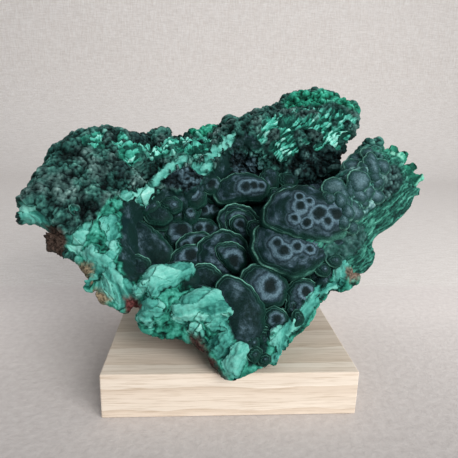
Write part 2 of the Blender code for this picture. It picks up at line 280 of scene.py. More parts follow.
# %% The depth of the rock behind the face
EDGE_THICKNESS = 2
EDGE_TAPER = 1.75
SIDE_STRETCH = np.array((2, 1))
WALL_THICKNESS = 24
FOOT = ((-8, 50), (10, 95), 92, 96)
HOLLOW_BACKING = ((-35, 110), (35, 110), 85, 26)


def main_back(points):
    inset = np.maximum(edge_distance(points * SIDE_STRETCH, np.array(MAIN_OUTLINE) * SIDE_STRETCH), 0)
    thickness = WALL_THICKNESS + swell(points, *FOOT) + swell(points, *HOLLOW_BACKING)
    return rim_level(points) - 7 - np.minimum(thickness, EDGE_THICKNESS + EDGE_TAPER * inset)


def right_back(points):
    inset = np.maximum(edge_distance(points, RIGHT_OUTLINE), 0)
    return rim_level(points) - 6 - np.minimum(20, EDGE_THICKNESS + EDGE_TAPER * inset)


# %% [markdown]
# A slab starts as a flat filled outline. A voxel remesh gives it even faces, and then each vertex
# slides to its place between back and front. Blender's remesh is the right tool for grown stone:
# it fuses what touches into one skin and leaves even faces that fine relief can be put on.

# %% Making a slab
SHEET_HALF = 9
SLAB_VOXEL = 1.6
SKIN_VOXEL = 1.05


def only(*chosen):
    """Selects these objects alone and makes the first the active one."""
    bpy.ops.object.select_all(action="DESELECT")
    for obj in chosen:
        obj.select_set(True)
    bpy.context.view_layer.objects.active = chosen[0]


def places_of(mesh):
    flat = np.empty(len(mesh.vertices) * 3, np.float32)
    mesh.vertices.foreach_get("co", flat)
    return flat.reshape(-1, 3).astype(float)


def normals_of(mesh):
    flat = np.empty(len(mesh.vertices) * 3, np.float32)
    mesh.vertices.foreach_get("normal", flat)
    return flat.reshape(-1, 3).astype(float)


def move_to(mesh, places):
    mesh.vertices.foreach_set("co", places.astype(np.float32).ravel())
    mesh.update()


def remesh(obj, voxel):
    only(obj)
    modifier = obj.modifiers.new("fuse", "REMESH")
    modifier.mode = "VOXEL"
    modifier.voxel_size = voxel
    bpy.ops.object.modifier_apply(modifier=modifier.name)
    return obj


def slab(name, outline, front, back):
    curve = bpy.data.curves.new(name, "CURVE")
    curve.dimensions = "2D"
    curve.fill_mode = "BOTH"
    curve.extrude = SHEET_HALF
    spline = curve.splines.new("POLY")
    spline.points.add(len(outline) - 1)
    for point, (across, up) in zip(spline.points, outline):
        point.co = (across, up, 0, 1)
    spline.use_cyclic_u = True
    obj = bpy.data.objects.new(name, curve)
    bpy.context.scene.collection.objects.link(obj)
    only(obj)
    bpy.ops.object.convert(target="MESH")
    bpy.ops.object.mode_set(mode="EDIT")
    bpy.ops.mesh.select_all(action="SELECT")
    bpy.ops.mesh.remove_doubles(threshold=0.01)
    bpy.ops.mesh.normals_make_consistent(inside=False)
    bpy.ops.object.mode_set(mode="OBJECT")
    remesh(obj, SLAB_VOXEL)
    places = places_of(obj.data)
    share = (places[:, 2] + SHEET_HALF) / (2 * SHEET_HALF)
    flat = places[:, :2]
    places[:, 2] = back(flat) + (front(flat) - back(flat)) * share
    move_to(obj.data, places)
    remesh(obj, SKIN_VOXEL)
    print(name, "has", len(obj.data.polygons), "faces")
    return obj


# %% [markdown]
# Grown malachite is botryoidal: domes packed like grapes, with sharp creases between them. Around
# scattered centres, each dome is a round cap that ends where its neighbour begins. Three sizes of
# cap, one on the other, give clusters, berries and grains. Where the crust broke across its
# fibres, it shows tilted flakes instead: long cells, each a small ramp with a raised upper edge.

# %% Domes and flakes
def domes(places, cell, reach):
    """From 0 in the creases to 1 on the tops of domes that are about cell millimetres across."""
    bent = places + 0.22 * cell * np.stack([clouds(places, 0.9 * cell, seed) for seed in (0, 20, 40)], axis=1)
    nearest = np.array([noise.voronoi(Vector(p))[0][0] for p in bent / cell])
    return np.sqrt(np.clip(1 - (nearest / reach) ** 2, 0, 1))


def flakes(places, long, wide, heading):
    """For long cells along a heading: a tone for each cell, the place across it, and its border."""
    turn = math.radians(heading)
    along = places[:, 0] * math.cos(turn) + places[:, 1] * math.sin(turn)
    across = places[:, 1] * math.cos(turn) - places[:, 0] * math.sin(turn)
    bend = 0.3 * clouds(places, 2.2 * wide) + 0.9 * clouds(places, 7 * wide)
    cells = np.stack([along / long, across / wide + bend, places[:, 2] / (1.6 * wide)], axis=1)
    tone, offset, border = (np.empty(len(places)) for _ in range(3))
    for index, place in enumerate(cells):
        distances, centres = noise.voronoi(Vector(place))
        tone[index] = noise.cell(centres[0] * 37.0)
        offset[index] = place[1] - centres[0][1]
        border[index] = distances[1] - distances[0]
    return tone, np.clip(offset, -0.6, 0.6), np.clip(border, 0, 1)


def strands(places, heading):
    """Fine noise that is drawn out along a heading, as broken fibres are."""
    turn = math.radians(heading)
    along = places[:, 0] * math.cos(turn) + places[:, 1] * math.sin(turn)
    across = places[:, 1] * math.cos(turn) - places[:, 0] * math.sin(turn)
    return clouds(np.stack([along / 5, across, places[:, 2] / 2], axis=1), 1.3)


def clouds(places, size, seed=0.0):
    """Soft noise from about -1 to 1 with patches of this size."""
    return np.array([noise.noise(Vector(p)) for p in places / size + seed]) * 1.6


def keep(mesh, name, values):
    """Stores one number for each vertex, for a material to read by name."""
    layer = mesh.attributes.new(name, "FLOAT", "POINT")
    layer.data.foreach_set("value", np.clip(values, -10, 10).astype(np.float32))


# %% [markdown]
# Parts of the crust differ: a saturated green crest, a bluish patch, leafy flakes across the upper
# wing, and stains of the matrix rock along the lower edge. Painted shade makes the berries near-black
# under the upper wing, in a crevice and in a gap. They are outlines too.

# %% Areas of the crust
AREAS = {
    "leaves": (
        (28, 198), (44, 208), (52, 214), (63, 218), (76, 207), (94, 204), (105, 200), (104, 190),
        (97, 178), (86, 175), (70, 174), (58, 174), (46, 167), (36, 168), (28, 175), (23, 181),
    ),
    "flakes": (
        (-107, 164), (-98, 172), (-84, 183), (-72, 172), (-60, 176), (-49, 184), (-37, 190),
        (-21, 199), (-9, 188), (-14, 168), (-27, 162), (-38, 166), (-51, 161), (-64, 153),
        (-79, 151), (-92, 156), (-103, 158),
    ),
    "crest": (
        (54, 240), (67, 246), (81, 244), (98, 243), (104, 226), (108, 210), (96, 205), (88, 212),
        (76, 212), (63, 222), (51, 218),
    ),
    "green_back": (
        (-33, 205), (-25, 210), (-17, 215), (-8, 212), (-10, 198), (-19, 193), (-28, 196),
    ),
    "black_back": (
        (-78, 189), (-71, 196), (-63, 197), (-60, 178), (-65, 168), (-71, 168),
    ),
    "gap_shade": (
        (-35, 183), (-21, 187), (-14, 176), (-17, 166), (-27, 166),
    ),
    "crevice_shade": (
        (-82, 143), (-78, 149), (-73, 153), (-74, 146), (-75, 134), (-79, 134),
    ),
    "grey_lump": (
        (-86, 152), (-81, 156), (-77, 153), (-79, 144), (-84, 143),
    ),
    "wing_foot": (
        (1, 175), (10, 179), (28, 178), (38, 169), (50, 170), (58, 176), (81, 176), (96, 177),
        (94, 166), (83, 156), (79, 153), (59, 150), (49, 153), (37, 157), (30, 154), (16, 154),
        (2, 156),
    ),
    "wing_underside_shade": (
        (56, 176), (66, 180), (82, 179), (95, 177), (93, 167), (83, 156), (73, 147), (58, 147),
        (48, 154), (48, 166),
    ),
    "wing_blue": (
        (1, 175), (10, 177), (22, 176), (30, 169), (32, 158), (18, 154), (4, 154), (-1, 162),
    ),
    "moss_fold": (
        (-50, 145), (-42, 153), (-31, 157), (-24, 154), (-17, 151), (-24, 140), (-28, 133),
        (-35, 139), (-46, 138),
    ),
    "tan_a": (
        (-97, 73), (-89, 71), (-86, 67), (-88, 63), (-95, 66),
    ),
    "tan_b": (
        (-86, 57), (-80, 54), (-75, 50), (-80, 48), (-88, 52),
    ),
    "red_rock": (
        (-68, 50), (-62, 50), (-57, 47), (-56, 42), (-66, 42),
    ),
    "brown_lump": (
        (-126, 96), (-113, 94), (-107, 90), (-105, 86), (-108, 80), (-122, 82),
    ),
    "under_red": (
        (-27, 31), (-20, 27), (-13, 19), (-8, 11), (-2, 3), (-6, 0), (-14, 12), (-23, 22),
    ),
    "right_brown": (
        (74, 68), (82, 73), (91, 77), (96, 73), (89, 67), (78, 62),
    ),
}


def area(points, name, edge=4.0):
    """From 0 outside the named area to 1 inside it, over the width of its edge."""
    return smooth_step(edge_distance(points, AREAS[name]) / edge + 0.5)


# %% [markdown]
# The skin of the main slab is shared out between five growths: druse on the wings, velvet in the
# hollow, pale broken forms, a rough crust under them, and bare rock behind. Each border is
# crumbled by a little noise. Druse and broken forms are divided once more for their fine relief.

# %% Share out the growths
LOWER_OUTLINE = (
    (-90, 98), (-84, 118), (-76, 122), (-60, 60), (-30, 62), (-24, 76), (0, 50), (4, 20), (20, 24),
    (40, 36), (72, 74), (86, 84), (100, 60), (30, -10), (0, -10), (-60, 20), (-100, 50), (-98, 84),
)


def growths(places, normals):
    """The share that each growth has of each point, by name."""
    crumble = np.stack([clouds(places, 3.5), clouds(places, 3.5, 40.0)], axis=1)
    flat = places[:, :2] + 1.1 * crumble
    front = smooth_step((normals[:, 2] + 0.7) / 0.5)
    pale = np.zeros(len(flat))
    for name, (rise, edge, heading, outline) in CHIPS.items():
        ragged = places[:, :2] + (2.6 if name in KNOBBLY else 1.1) * crumble
        pale = np.maximum(pale, smooth_step(edge_distance(ragged, outline) / 1.2 + (0.1 if name in KNOBBLY else 0.6)))
    pale *= front
    foot = area(flat, "wing_foot", 3)
    hollow = smooth_step(edge_distance(flat, HOLLOW_OUTLINE) / 3 + 0.5) * (1 - foot) * front
    low = smooth_step(edge_distance(flat, LOWER_OUTLINE) / 3 + 0.5) * front
    druse = front * (1 - hollow) * (1 - low)
    leafy = smooth_step(area(flat, "leaves", 5) * (0.72 + 1.0 * clouds(places, 9.0, 60.0))) * druse
    flaky = smooth_step(area(flat, "flakes", 4) * (0.75 + 0.9 * clouds(places, 9.0))) * druse
    return {
        "front": front, "pale": pale, "velvet": hollow * (1 - pale), "rough": low * (1 - hollow) * (1 - pale),
        "druse": druse * (1 - pale), "leafy": leafy * (1 - pale), "flaky": flaky * (1 - pale),
    }


def divide(obj, chosen):
    """Divides the chosen faces once."""
    bm = bmesh.new()
    bm.from_mesh(obj.data)
    bm.faces.ensure_lookup_table()
    edges = {edge for index in np.nonzero(chosen)[0] for edge in bm.faces[index].edges}
    bmesh.ops.subdivide_edges(bm, edges=sorted(edges, key=lambda e: e.index), cuts=1, use_grid_fill=True)
    bm.to_mesh(obj.data)
    bm.free()


def face_share(mesh, values):
    """The mean of a vertex value over each face."""
    loops = np.empty(len(mesh.loops), np.int32)
    mesh.loops.foreach_get("vertex_index", loops)
    starts = np.empty(len(mesh.polygons), np.int32)
    mesh.polygons.foreach_get("loop_start", starts)
    return np.add.reduceat(values[loops], starts) / np.diff(np.append(starts, len(loops)))


stone = slab("main_slab", MAIN_OUTLINE, main_front, main_back)
found = growths(places_of(stone.data), normals_of(stone.data))
divide(stone, face_share(stone.data, found["druse"] + found["pale"]) > 0.3)
print("after dividing druse and broken forms:", len(stone.data.polygons), "faces")

# %% [markdown]
# Each growth now gets its own relief along the normals, and the numbers that the materials read:
# how open a berry is to light, painted as shade in its creases and highlight on its top, the tone of
# a flake with its painted shading, how far it is to a crease, and the ring of a dome.

# %% Raise the relief
CLUSTER, GRAPE, BERRY = (14.0, 0.8, 4.6), (6.2, 0.76, 2.7), (2.5, 0.74, 1.4)
GRAIN, JAG = (1.3, 0.78, 0.45), (4.0, 1.1)
KNOB = (7.5, 0.82, 3.0)
ROUGH_LUMP, ROUGH_KNOB = (10.0, 0.8, 3.4), (3.4, 0.76, 1.1)
VELVET_DOME, VELVET_BUD = (12.0, 0.85, 3.0), (5.0, 0.8, 0.7)
ROCK_CLUSTER, ROCK_LUMP = (38.0, 0.8, 12.0), (15.0, 0.8, 3.5)
LEAF = (6.5, 1.7, 38)
FLAKE = (4.4, 2.0, 24)
SLAB_FLAKE = (19.0, 7.5)

places, normals = places_of(stone.data), normals_of(stone.data)
flat = places[:, :2]
found = growths(places, normals)
lift, crease_shading, tone, border, ring = (np.zeros(len(places)) for _ in range(5))


def put(share, function, *sizes):
    """Runs a pattern only where a growth has a share, and gives 0 elsewhere."""
    here = share > 0.02
    made = function(places[here], *sizes)
    many = made if isinstance(made, tuple) else (made,)
    filled = []
    for values in many:
        whole = np.zeros(len(places))
        whole[here] = values
        filled.append(whole)
    return filled if isinstance(made, tuple) else filled[0]


def heap(share, *sizes):
    """Domes on domes: the height, and a number for painted shade that is dark in every crease and 1 on the tops."""
    height, open_to_light = np.zeros(len(places)), np.ones(len(places))
    for cell, reach, rise in sizes:
        cap = put(share, domes, cell, reach)
        height += cap * rise
        open_to_light *= 0.22 + 0.78 * cap
    return height, open_to_light


berry_height, berry_light = heap(found["druse"], CLUSTER, GRAPE, BERRY)
lift += (found["druse"] - 0.75 * found["leafy"]) * (berry_height - 2.6)
lift += found["druse"] * put(found["druse"], domes, *GRAIN[:2]) * GRAIN[2]
lift += found["druse"] * put(found["druse"], clouds, JAG[0]) * JAG[1]
crease_shading += found["druse"] * berry_light
rough_height, rough_light = heap(found["rough"], ROUGH_LUMP, ROUGH_KNOB)
lift += found["rough"] * (rough_height - 1.2)
crease_shading += found["rough"] * rough_light
velvet_height, velvet_light = heap(found["velvet"], VELVET_DOME, VELVET_BUD)
lift += found["velvet"] * (velvet_height - 1.5)
ring += 1 - put(found["velvet"], domes, VELVET_DOME[0], VELVET_DOME[1])
rock = put(1 - found["front"], domes, *ROCK_CLUSTER[:2]) * ROCK_CLUSTER[2] - ROCK_CLUSTER[2]
rock += put(1 - found["front"], domes, *ROCK_LUMP[:2]) * ROCK_LUMP[2] - ROCK_LUMP[2]
lift += (1 - found["front"]) * rock
broken = [("leafy", LEAF, 0.8, 1.1), ("flaky", FLAKE, 1.0, 1.4)]
patterns = [(found[name], cell, tilt, step, 0.14 if name == "leafy" else 0.05, 0.6) for name, cell, tilt, step in broken]
for name, (rise, edge, heading, outline) in CHIPS.items():
    inside = smooth_step(edge_distance(flat, outline) / 1.5 + 1) * found["pale"]
    patterns.append((inside, (*SLAB_FLAKE, heading), 0.5 if name in KNOBBLY else 0.8, 0.8, 0.27, 0.3))
for share, cell, tilt, step, base, spread in patterns:
    cell_tone, offset, gap = put(share, flakes, *cell)
    cut = (cell_tone > 0.5) * np.exp(-gap / 0.045)
    lift += share * (tilt * offset * 2 + step * cell_tone - 0.5 * step - 1.1 * cut)
    silk = put(share, strands, cell[2])
    lift += 0.25 * share * silk
    fresh = share > 0.3
    # Besides each cell's own tone, this is painted shading: each tilted flake is lighter towards its raised edge.
    tone[fresh] = (base + cell_tone * spread + (offset + 0.6) * 0.2 + (0.16 if base < 0.2 else 0.09) * silk)[fresh]
    border[fresh] = 1 - cut[fresh]
knobs = np.max([smooth_step(edge_distance(flat, CHIPS[name][3]) / 1.5 + 1) for name in KNOBBLY], axis=0)
knob = put(found["pale"] * knobs, domes, *KNOB[:2])
lift += found["pale"] * knobs * (KNOB[2] * knob - 1.6)
# Painted highlight and shade: the knobs are painted lighter on their tops and darker at their feet.
tone += found["pale"] * knobs * (0.35 * (knob - 0.6) - 0.08)
lift += found["pale"] * (1.8 * put(found["pale"], domes, 10.0, 0.85) + 0.6 * put(found["pale"], clouds, 3.2) - 0.9)
for name, share in found.items():
    keep(stone.data, name, share)
keep(stone.data, "crease_shading", crease_shading)
keep(stone.data, "tone", tone)
keep(stone.data, "border", border)
keep(stone.data, "ring", ring)
for name in AREAS:
    keep(stone.data, name, area(flat + 1.2 * np.stack([put(found["front"], clouds, 4.0), lift * 0], axis=1), name))
move_to(stone.data, into_room(places + normals * lift[:, None]))
print("relief from", round(float(lift.min()), 2), "to", round(float(lift.max()), 2), "mm")


# %% [markdown]
# The right wing is its own slab that stands proud of the hollow. Its near face carries velvet
# coils, its outer side is a sheer break with long fibres, and its upper edge ends in leaf-shaped
# blades. The blades are flattened cones, pressed into the slab before its skin is made.

# %% The right wing: foot, heading and length of each blade
BLADES = (
    ((103, 165), 96, 11), ((111, 167), 80, 13), ((123, 162), 66, 17), ((130, 157), 46, 18), ((137, 149), 24, 18),
    ((139, 139), 5, 17), ((133, 126), -15, 14), ((117, 156), 72, 12), ((124, 150), 48, 15),
)
RIGHT_AREAS = {
    "coils": ((84, 146), (92, 152), (101, 153), (107, 144), (108, 131), (103, 119), (96, 108),
              (88, 101), (79, 97), (70, 96), (66, 104), (68, 116), (73, 128), (78, 138)),
    "pits": ((106, 140), (117, 141), (124, 132), (113, 119), (103, 110), (96, 111), (103, 122)),
    "fringe": ((58, 78), (64, 71), (76, 74), (86, 81), (94, 92), (88, 98), (78, 93), (68, 87)),
    "crown": ((82, 148), (90, 172), (106, 178), (117, 170), (113, 158), (107, 154), (100, 155), (92, 154)),
}
COIL, COIL_BUD = (6.5, 0.82, 3.0), (2.6, 0.78, 0.7)
PIT = (3.0, 0.75, 1.3)
FIBRE = (9.0, 1.0, 42)
LEAF_CENTRE, LEAF_LONG, LEAF_WIDE = (104, 122), 13, 5.5
ARC_PER_DEGREE = 0.44


def fan_leaves(places):
    """Flakes that fan out from one centre: far along the fan, degrees across it."""
    far = np.hypot(places[:, 0] - LEAF_CENTRE[0], places[:, 1] - LEAF_CENTRE[1])
    angle = np.degrees(np.arctan2(places[:, 1] - LEAF_CENTRE[1], places[:, 0] - LEAF_CENTRE[0]))
    return flakes(np.stack([far, angle * ARC_PER_DEGREE, places[:, 2]], axis=1), LEAF_LONG, LEAF_WIDE, 0)


def blade(foot, heading, length):
    """A flattened cone that leans outwards in the plane of the wing's edge."""
    turn = math.radians(heading)
    out = Vector((math.cos(turn), math.sin(turn), 0))
    centre = Vector((foot[0], foot[1], 0)) + out * (2.5 - length * 0.5)
    centre.z = right_front(np.array([centre[:2]], float))[0] + 0.2
    bpy.ops.mesh.primitive_cone_add(vertices=12, radius1=7.4, radius2=3.0, depth=length, location=centre,
                                    rotation=(0, math.pi / 2, turn))
    bpy.context.object.scale = (0.42, 1, 1)
    return bpy.context.object


wing = slab("right_wing", RIGHT_OUTLINE, right_front, right_back)
blades = [blade(*facts) for facts in BLADES]
only(wing, *blades)
bpy.ops.object.join()
remesh(wing, SKIN_VOXEL)
divide(wing, face_share(wing.data, normals_of(wing.data)[:, 2]) > -0.15)
places, normals = places_of(wing.data), normals_of(wing.data)
ragged = places[:, :2] + 1.2 * np.stack([clouds(places, 4.0), clouds(places, 4.0, 40.0)], axis=1)
near = smooth_step((normals[:, 2] + 0.2) / 0.4)
coils, pits, crown = (near * smooth_step(edge_distance(ragged, RIGHT_AREAS[name]) / 4 + 0.5)
                      for name in ("coils", "pits", "crown"))
fringe = near * smooth_step(edge_distance(ragged, RIGHT_AREAS["fringe"]) / 4 + 0.5) * (1 - coils)
coils, pits = np.maximum(coils, 0.4 * fringe), np.maximum(pits, 0.6 * fringe)
sides = 1 - np.clip(coils + pits + crown, 0, 1)
lift = np.zeros(len(places))
coil_height, coil_light = heap(coils, COIL, COIL_BUD)
pit_height, pit_light = heap(np.clip(pits + crown, 0, 1), PIT, (7.0, 0.8, 2.2))
blades_share = smooth_step((places[:, 0] + places[:, 1] - 262) / 12) * sides
fine, broad = put(sides, flakes, *FIBRE), put(blades_share, fan_leaves)
cell_tone, offset, gap = (np.where(blades_share > 0.5, b, a) for a, b in zip(fine, broad))
lift += coils * (coil_height - 1.2) + pits * (pit_height - 3.2) + crown * (pit_height - 1.0)
cut = (cell_tone > 0.4) * np.exp(-gap / 0.08)
silk = put(sides, strands, FIBRE[2])
facing = 0.35 + 0.65 * smooth_step((normals[:, 2] - 0.1) / 0.4)
lift += sides * facing * (0.15 * offset + 0.2 * cell_tone - 0.1 - 0.25 * cut + 0.4 * silk)
lift += blades_share * facing * (1.3 * offset + 0.9 * cell_tone - 0.6)
# Painted shading: the leaf blades, and a little the fine side cells, are lighter towards their raised edge.
tone = np.where(blades_share > 0.5, 0.1 + 0.45 * cell_tone + 0.45 * (offset + 0.6), 0.32 + 0.2 * cell_tone + 0.1 * (offset + 0.6)) + 0.17 * silk
for name, values in (("coils", coils), ("pits", pits), ("crown", crown), ("tone", tone),
                     ("border", 1 - cut), ("crease_shading", coils * coil_light + (pits + crown) * pit_light),
                     ("blade", blades_share),
                     ("behind", smooth_step((-normals[:, 2] - 0.1) / 0.4))):
    keep(wing.data, name, values)
move_to(wing.data, into_room(places + normals * lift[:, None]))
print("right wing:", len(wing.data.polygons), "faces")

# %% [markdown]
# Each velvet lobe is a cushion with an outline of its own, tilted so that its upper edge stands
# off the lobe behind, like roof tiles. It starts as a ball. Every vertex keeps its direction and
# takes the outline's reach in that direction, and a flat-topped profile gives the cushion its
# shoulder. Where fibres fan out from a centre, the cushion has an eye: a low dome of its own.

# %% Velvet lobes: name, centre in the face frame, tilt, depth, outline and eyes about the centre
LOBES = (
    ("bean", (11, 145, -20), 12, 9,
     ((-21, -8), (-21, -3), (-17, 2), (-13, 7), (-6, 11), (4, 12), (12, 10), (19, 5), (21, -1), (18, -7), (12, -10), (2, -10), (-8, -12), (-16, -12)),
     ((3, -1, 4.2), (9, 0, 3.4), (15, 0, 3.1))),
    ("shell_back", (10, 116, -25), 20, 8,
     ((-16, -1), (-16, 7), (-13, 12), (-8, 15), (-1, 15), (5, 14), (10, 9), (16, 3), (14, -5), (9, -11), (4, -15), (-3, -10), (-11, -7)),
     ()),
    ("shell_front", (10, 115, -22), 20, 8,
     ((-12, 1), (-11, 7), (-8, 11), (-1, 11), (5, 9), (10, 5), (12, -1), (9, -7), (4, -11), (-4, -8), (-9, -5)),
     ((0, 2, 6.8),)),
    ("shell_left", (8, 108, -18), 20, 7,
     ((-7, 4), (-6, 9), (-1, 11), (4, 10), (6, 5), (7, -3), (7, -11), (3, -8), (-1, -4), (-5, 0)),
     ((1, 4, 3.6),)),
    ("shell_right", (19, 108, -15), 18, 7,
     ((-6, 0), (-4, 5), (0, 6), (5, 5), (6, 0), (3, -5), (-2, -6), (-5, -4)),
     ()),
    ("west_disc", (-35, 111, -33), 15, 8,
     ((-11, 1), (-11, 6), (-9, 10), (-2, 11), (4, 11), (10, 8), (11, 2), (9, -6), (2, -11), (-5, -10), (-10, -5)),
     ((1, 3, 6.8),)),
    ("saddle", (-16, 114, -31), 15, 8,
     ((-11, 3), (-8, 7), (-3, 9), (4, 8), (8, 4), (11, 1), (8, -5), (2, -9), (-5, -9), (-10, -5)),
     ((3, 0, 4.6), (-5, 0, 3.8))),
    ("west_mid", (-24, 99, -28), 18, 8,
     ((-14, 0), (-11, 5), (-7, 9), (-1, 10), (6, 11), (11, 8), (14, 3), (12, -4), (6, -9), (-4, -10), (-11, -7)),
     ((2, 3, 5.2), (-6, 0, 3.7))),
    ("west_step", (-28, 87, -24), 20, 8,
     ((-14, -1), (-11, 4), (-7, 8), (-2, 10), (6, 11), (11, 9), (14, 2), (11, -6), (4, -11), (-5, -10), (-11, -6)),
     ((2, 3, 6.5),)),
    ("great_disc", (-4, 89, -20), 18, 10,
     ((-19, 0), (-18, 6), (-13, 11), (-8, 14), (-1, 17), (5, 17), (12, 13), (17, 7), (19, -1), (18, -8), (12, -14), (4, -17), (-6, -16), (-14, -13), (-17, -7)),
     ()),
    ("great_eye", (1, 84, -14), 18, 9,
     ((-11, 6), (-9, 9), (-3, 11), (5, 10), (10, 5), (11, -1), (9, -7), (5, -11), (0, -9), (-6, -3), (-9, 1)),
     ((2, -2, 5.6),)),
    ("small_disc", (-15, 68, -12), 20, 8,
     ((-10, 2), (-9, 8), (-4, 10), (0, 10), (5, 8), (9, 3), (11, -3), (8, -8), (0, -10), (-6, -8), (-10, -4)),
     ()),
    ("behind_fold", (-27, 58, -10), 15, 7,
     ((-6, 1), (-4, 5), (-1, 7), (2, 5), (6, 1), (6, -5), (0, -7), (-4, -5)),
     ((0, 1, 2.6),)),
    ("long_dome", (5, 41, -5), 14, 12,
     ((-15, 15), (-13, 20), (-10, 23), (-4, 23), (2, 21), (7, 16), (12, 10), (15, 5), (15, -3), (15, -11), (12, -18), (7, -22), (0, -22), (-6, -18), (-11, -9), (-15, 2)),
     ()),
    ("round_eye", (22, 60, -5), 15, 10,
     ((-15, 3), (-14, 8), (-11, 12), (-6, 14), (1, 13), (8, 9), (13, 5), (15, -1), (13, -8), (9, -12), (3, -14), (-5, -12), (-10, -8), (-14, -3)),
     ((2, -1, 6.0),)),
    ("lower_pair", (49, 83, 1), 8, 14,
     ((-34, 3), (-33, 10), (-29, 15), (-22, 18), (-7, 17), (14, 14), (31, 15), (36, 10), (31, 4), (23, -1), (13, -8), (3, -15), (-5, -18), (-12, -18), (-20, -14), (-27, -10), (-32, -5)),
     ((-20, 1, 3.4), (-16, -4, 4.2), (-7, -1, 3.2), (1, -3, 2.8))),
    ("upper_pair", (52, 104, 11), 6, 15,
     ((-29, -8), (-29, -1), (-28, 7), (-23, 12), (-17, 15), (-10, 19), (-3, 20), (5, 17), (12, 16), (21, 15), (28, 9), (30, 1), (27, -8), (20, -16), (9, -19), (-2, -18), (-13, -15), (-23, -12)),
     ((-8, 1, 4.1), (-8, 8, 2.8), (-2, 4, 2.8), (4, -4, 4.8), (16, -4, 4.8), (9, -9, 3.4), (18, 4, 2.8), (-12, -7, 2.7), (-4, -10, 2.7), (25, 7, 3.5))),
    ("brow", (57, 122, 3), 8, 8,
     ((-8, 1), (-7, 7), (-2, 9), (3, 9), (7, 4), (8, -3), (6, -9), (0, -9), (-5, -5)),
     ((1, 0, 2.2),)),
    ("brow_left", (43, 135, -9), 12, 7,
     ((-10, -3), (-6, 2), (0, 6), (6, 6), (10, 2), (8, -4), (-1, -6), (-7, -6)),
     ((0, 0, 3.0),)),
    ("nook", (36, 139, -19), 10, 6,
     ((-5, -1), (-3, 5), (1, 6), (5, 3), (5, -3), (0, -6), (-4, -5)),
     ((0, 0, 3.1),)),
    ("knob_high", (34, 155, -22), 8, 8,
     ((-9, -3), (-7, 4), (-3, 9), (2, 11), (7, 7), (8, 0), (6, -7), (0, -11), (-6, -9)),
     ()),
    ("knob_green", (48, 153, -19), 10, 6,
     ((-8, -1), (-6, 5), (-1, 7), (4, 7), (8, 2), (7, -4), (2, -7), (-4, -6)),
     ()),
    ("low_saddle", (-14, 134, -36), 10, 8,
     ((-10, -2), (-8, 5), (-3, 8), (4, 7), (9, 3), (10, -3), (4, -7), (-4, -8), (-8, -6)),
     ((5, -1, 3.2), (-3, -2, 3.2))),
    ("wall_left", (-51, 120, -18), 8, 7,
     ((-10, -2), (-8, 4), (-3, 8), (4, 7), (9, 3), (10, -3), (6, -8), (-2, -8), (-8, -6)),
     ()),
    ("wall_mid", (-42, 126, -15), 8, 6,
     ((-8, 2), (-4, 6), (3, 7), (8, 3), (8, -3), (3, -7), (-3, -4), (-7, -1)),
     ((3, -1, 2.9),)),
    ("wall_right", (-24, 137, -22), 8, 7,
     ((-8, -2), (-6, 5), (-2, 9), (5, 8), (8, 3), (7, -4), (2, -9), (-4, -8)),
     ((-1, 3, 3.1),)),
    ("wall_low", (-28, 124, -27), 10, 7,
     ((-5, -4), (-6, 3), (-3, 7), (2, 7), (6, 3), (6, -4), (1, -7)),
     ((1, 2, 3.0),)),
    ("wall_top", (-12, 147, -20), 8, 7,
     ((-8, -1), (-6, 5), (-1, 8), (5, 7), (9, 1), (7, -5), (0, -8), (-6, -6)),
     ((0, -1, 4.6),)),
    ("long_slope", (-59, 99, -24), 8, 9,
     ((-19, 14), (-16, 19), (-7, 18), (2, 13), (11, 5), (17, -3), (19, -11), (14, -17), (4, -19), (-6, -16), (-15, -8), (-19, 4)),
     ()),
    ("slope_low", (-63, 76, -14), 12, 7,
     ((-10, 4), (-7, 9), (1, 9), (8, 6), (10, 0), (7, -6), (0, -9), (-7, -7), (-10, -1)),
     ()),
    ("shade_coil", (70, 79, -7), 8, 6,
     ((-8, -2), (-6, 4), (-1, 7), (5, 7), (8, 2), (7, -4), (1, -7), (-5, -6)),
     ((0, 0, 2.8),)),
    ("shade_bud", (58, 69, -8), 8, 6,
     ((-7, -1), (-5, 3), (0, 6), (5, 4), (7, -1), (3, -6), (-3, -6)),
     ((-2, 0, 2.8),)),
    ("south_coil", (47, 54, -6), 15, 8,
     ((-11, 2), (-9, 7), (-4, 10), (2, 11), (8, 8), (11, 3), (9, -4), (4, -8), (-2, -11), (-8, -7), (-11, -3)),
     ((1, 2, 4.0),)),
    ("south_low", (40, 46, -8), 10, 7,
     ((-5, -2), (-4, 4), (0, 6), (4, 4), (5, -1), (2, -5), (-4, -6)),
     ((0, 1, 2.7),)),
    ("tip_dome", (28, 38, -5), 14, 7,
     ((-8, 2), (-6, 6), (-1, 8), (4, 6), (8, 2), (7, -3), (3, -7), (-4, -7), (-8, -4)),
     ((0, 0, 3.9),)),
    ("tip_low", (21, 26, -5), 10, 6,
     ((-3, -1), (-3, 5), (0, 7), (3, 5), (3, -2), (1, -7), (-2, -7)),
     ((0, -1, 1.9),)),
    ("tip_bud", (19, 12, -2), 5, 5,
     ((-4, -2), (-3, 3), (1, 4), (4, 2), (4, -1), (0, -4)),
     ((0, 0, 1.8),)),
    ("tip_bead", (13, 15, -2), 8, 5,
     ((-5, -1), (-3, 3), (1, 5), (5, 3), (4, -2), (0, -5)),
     ((0, 0, 1.8),)),
    ("tip_left", (13, 23, -4), 12, 6,
     ((-5, -1), (-3, 4), (2, 5), (5, 2), (3, -3), (-1, -5)),
     ((0, 0, 1.9),)),
)

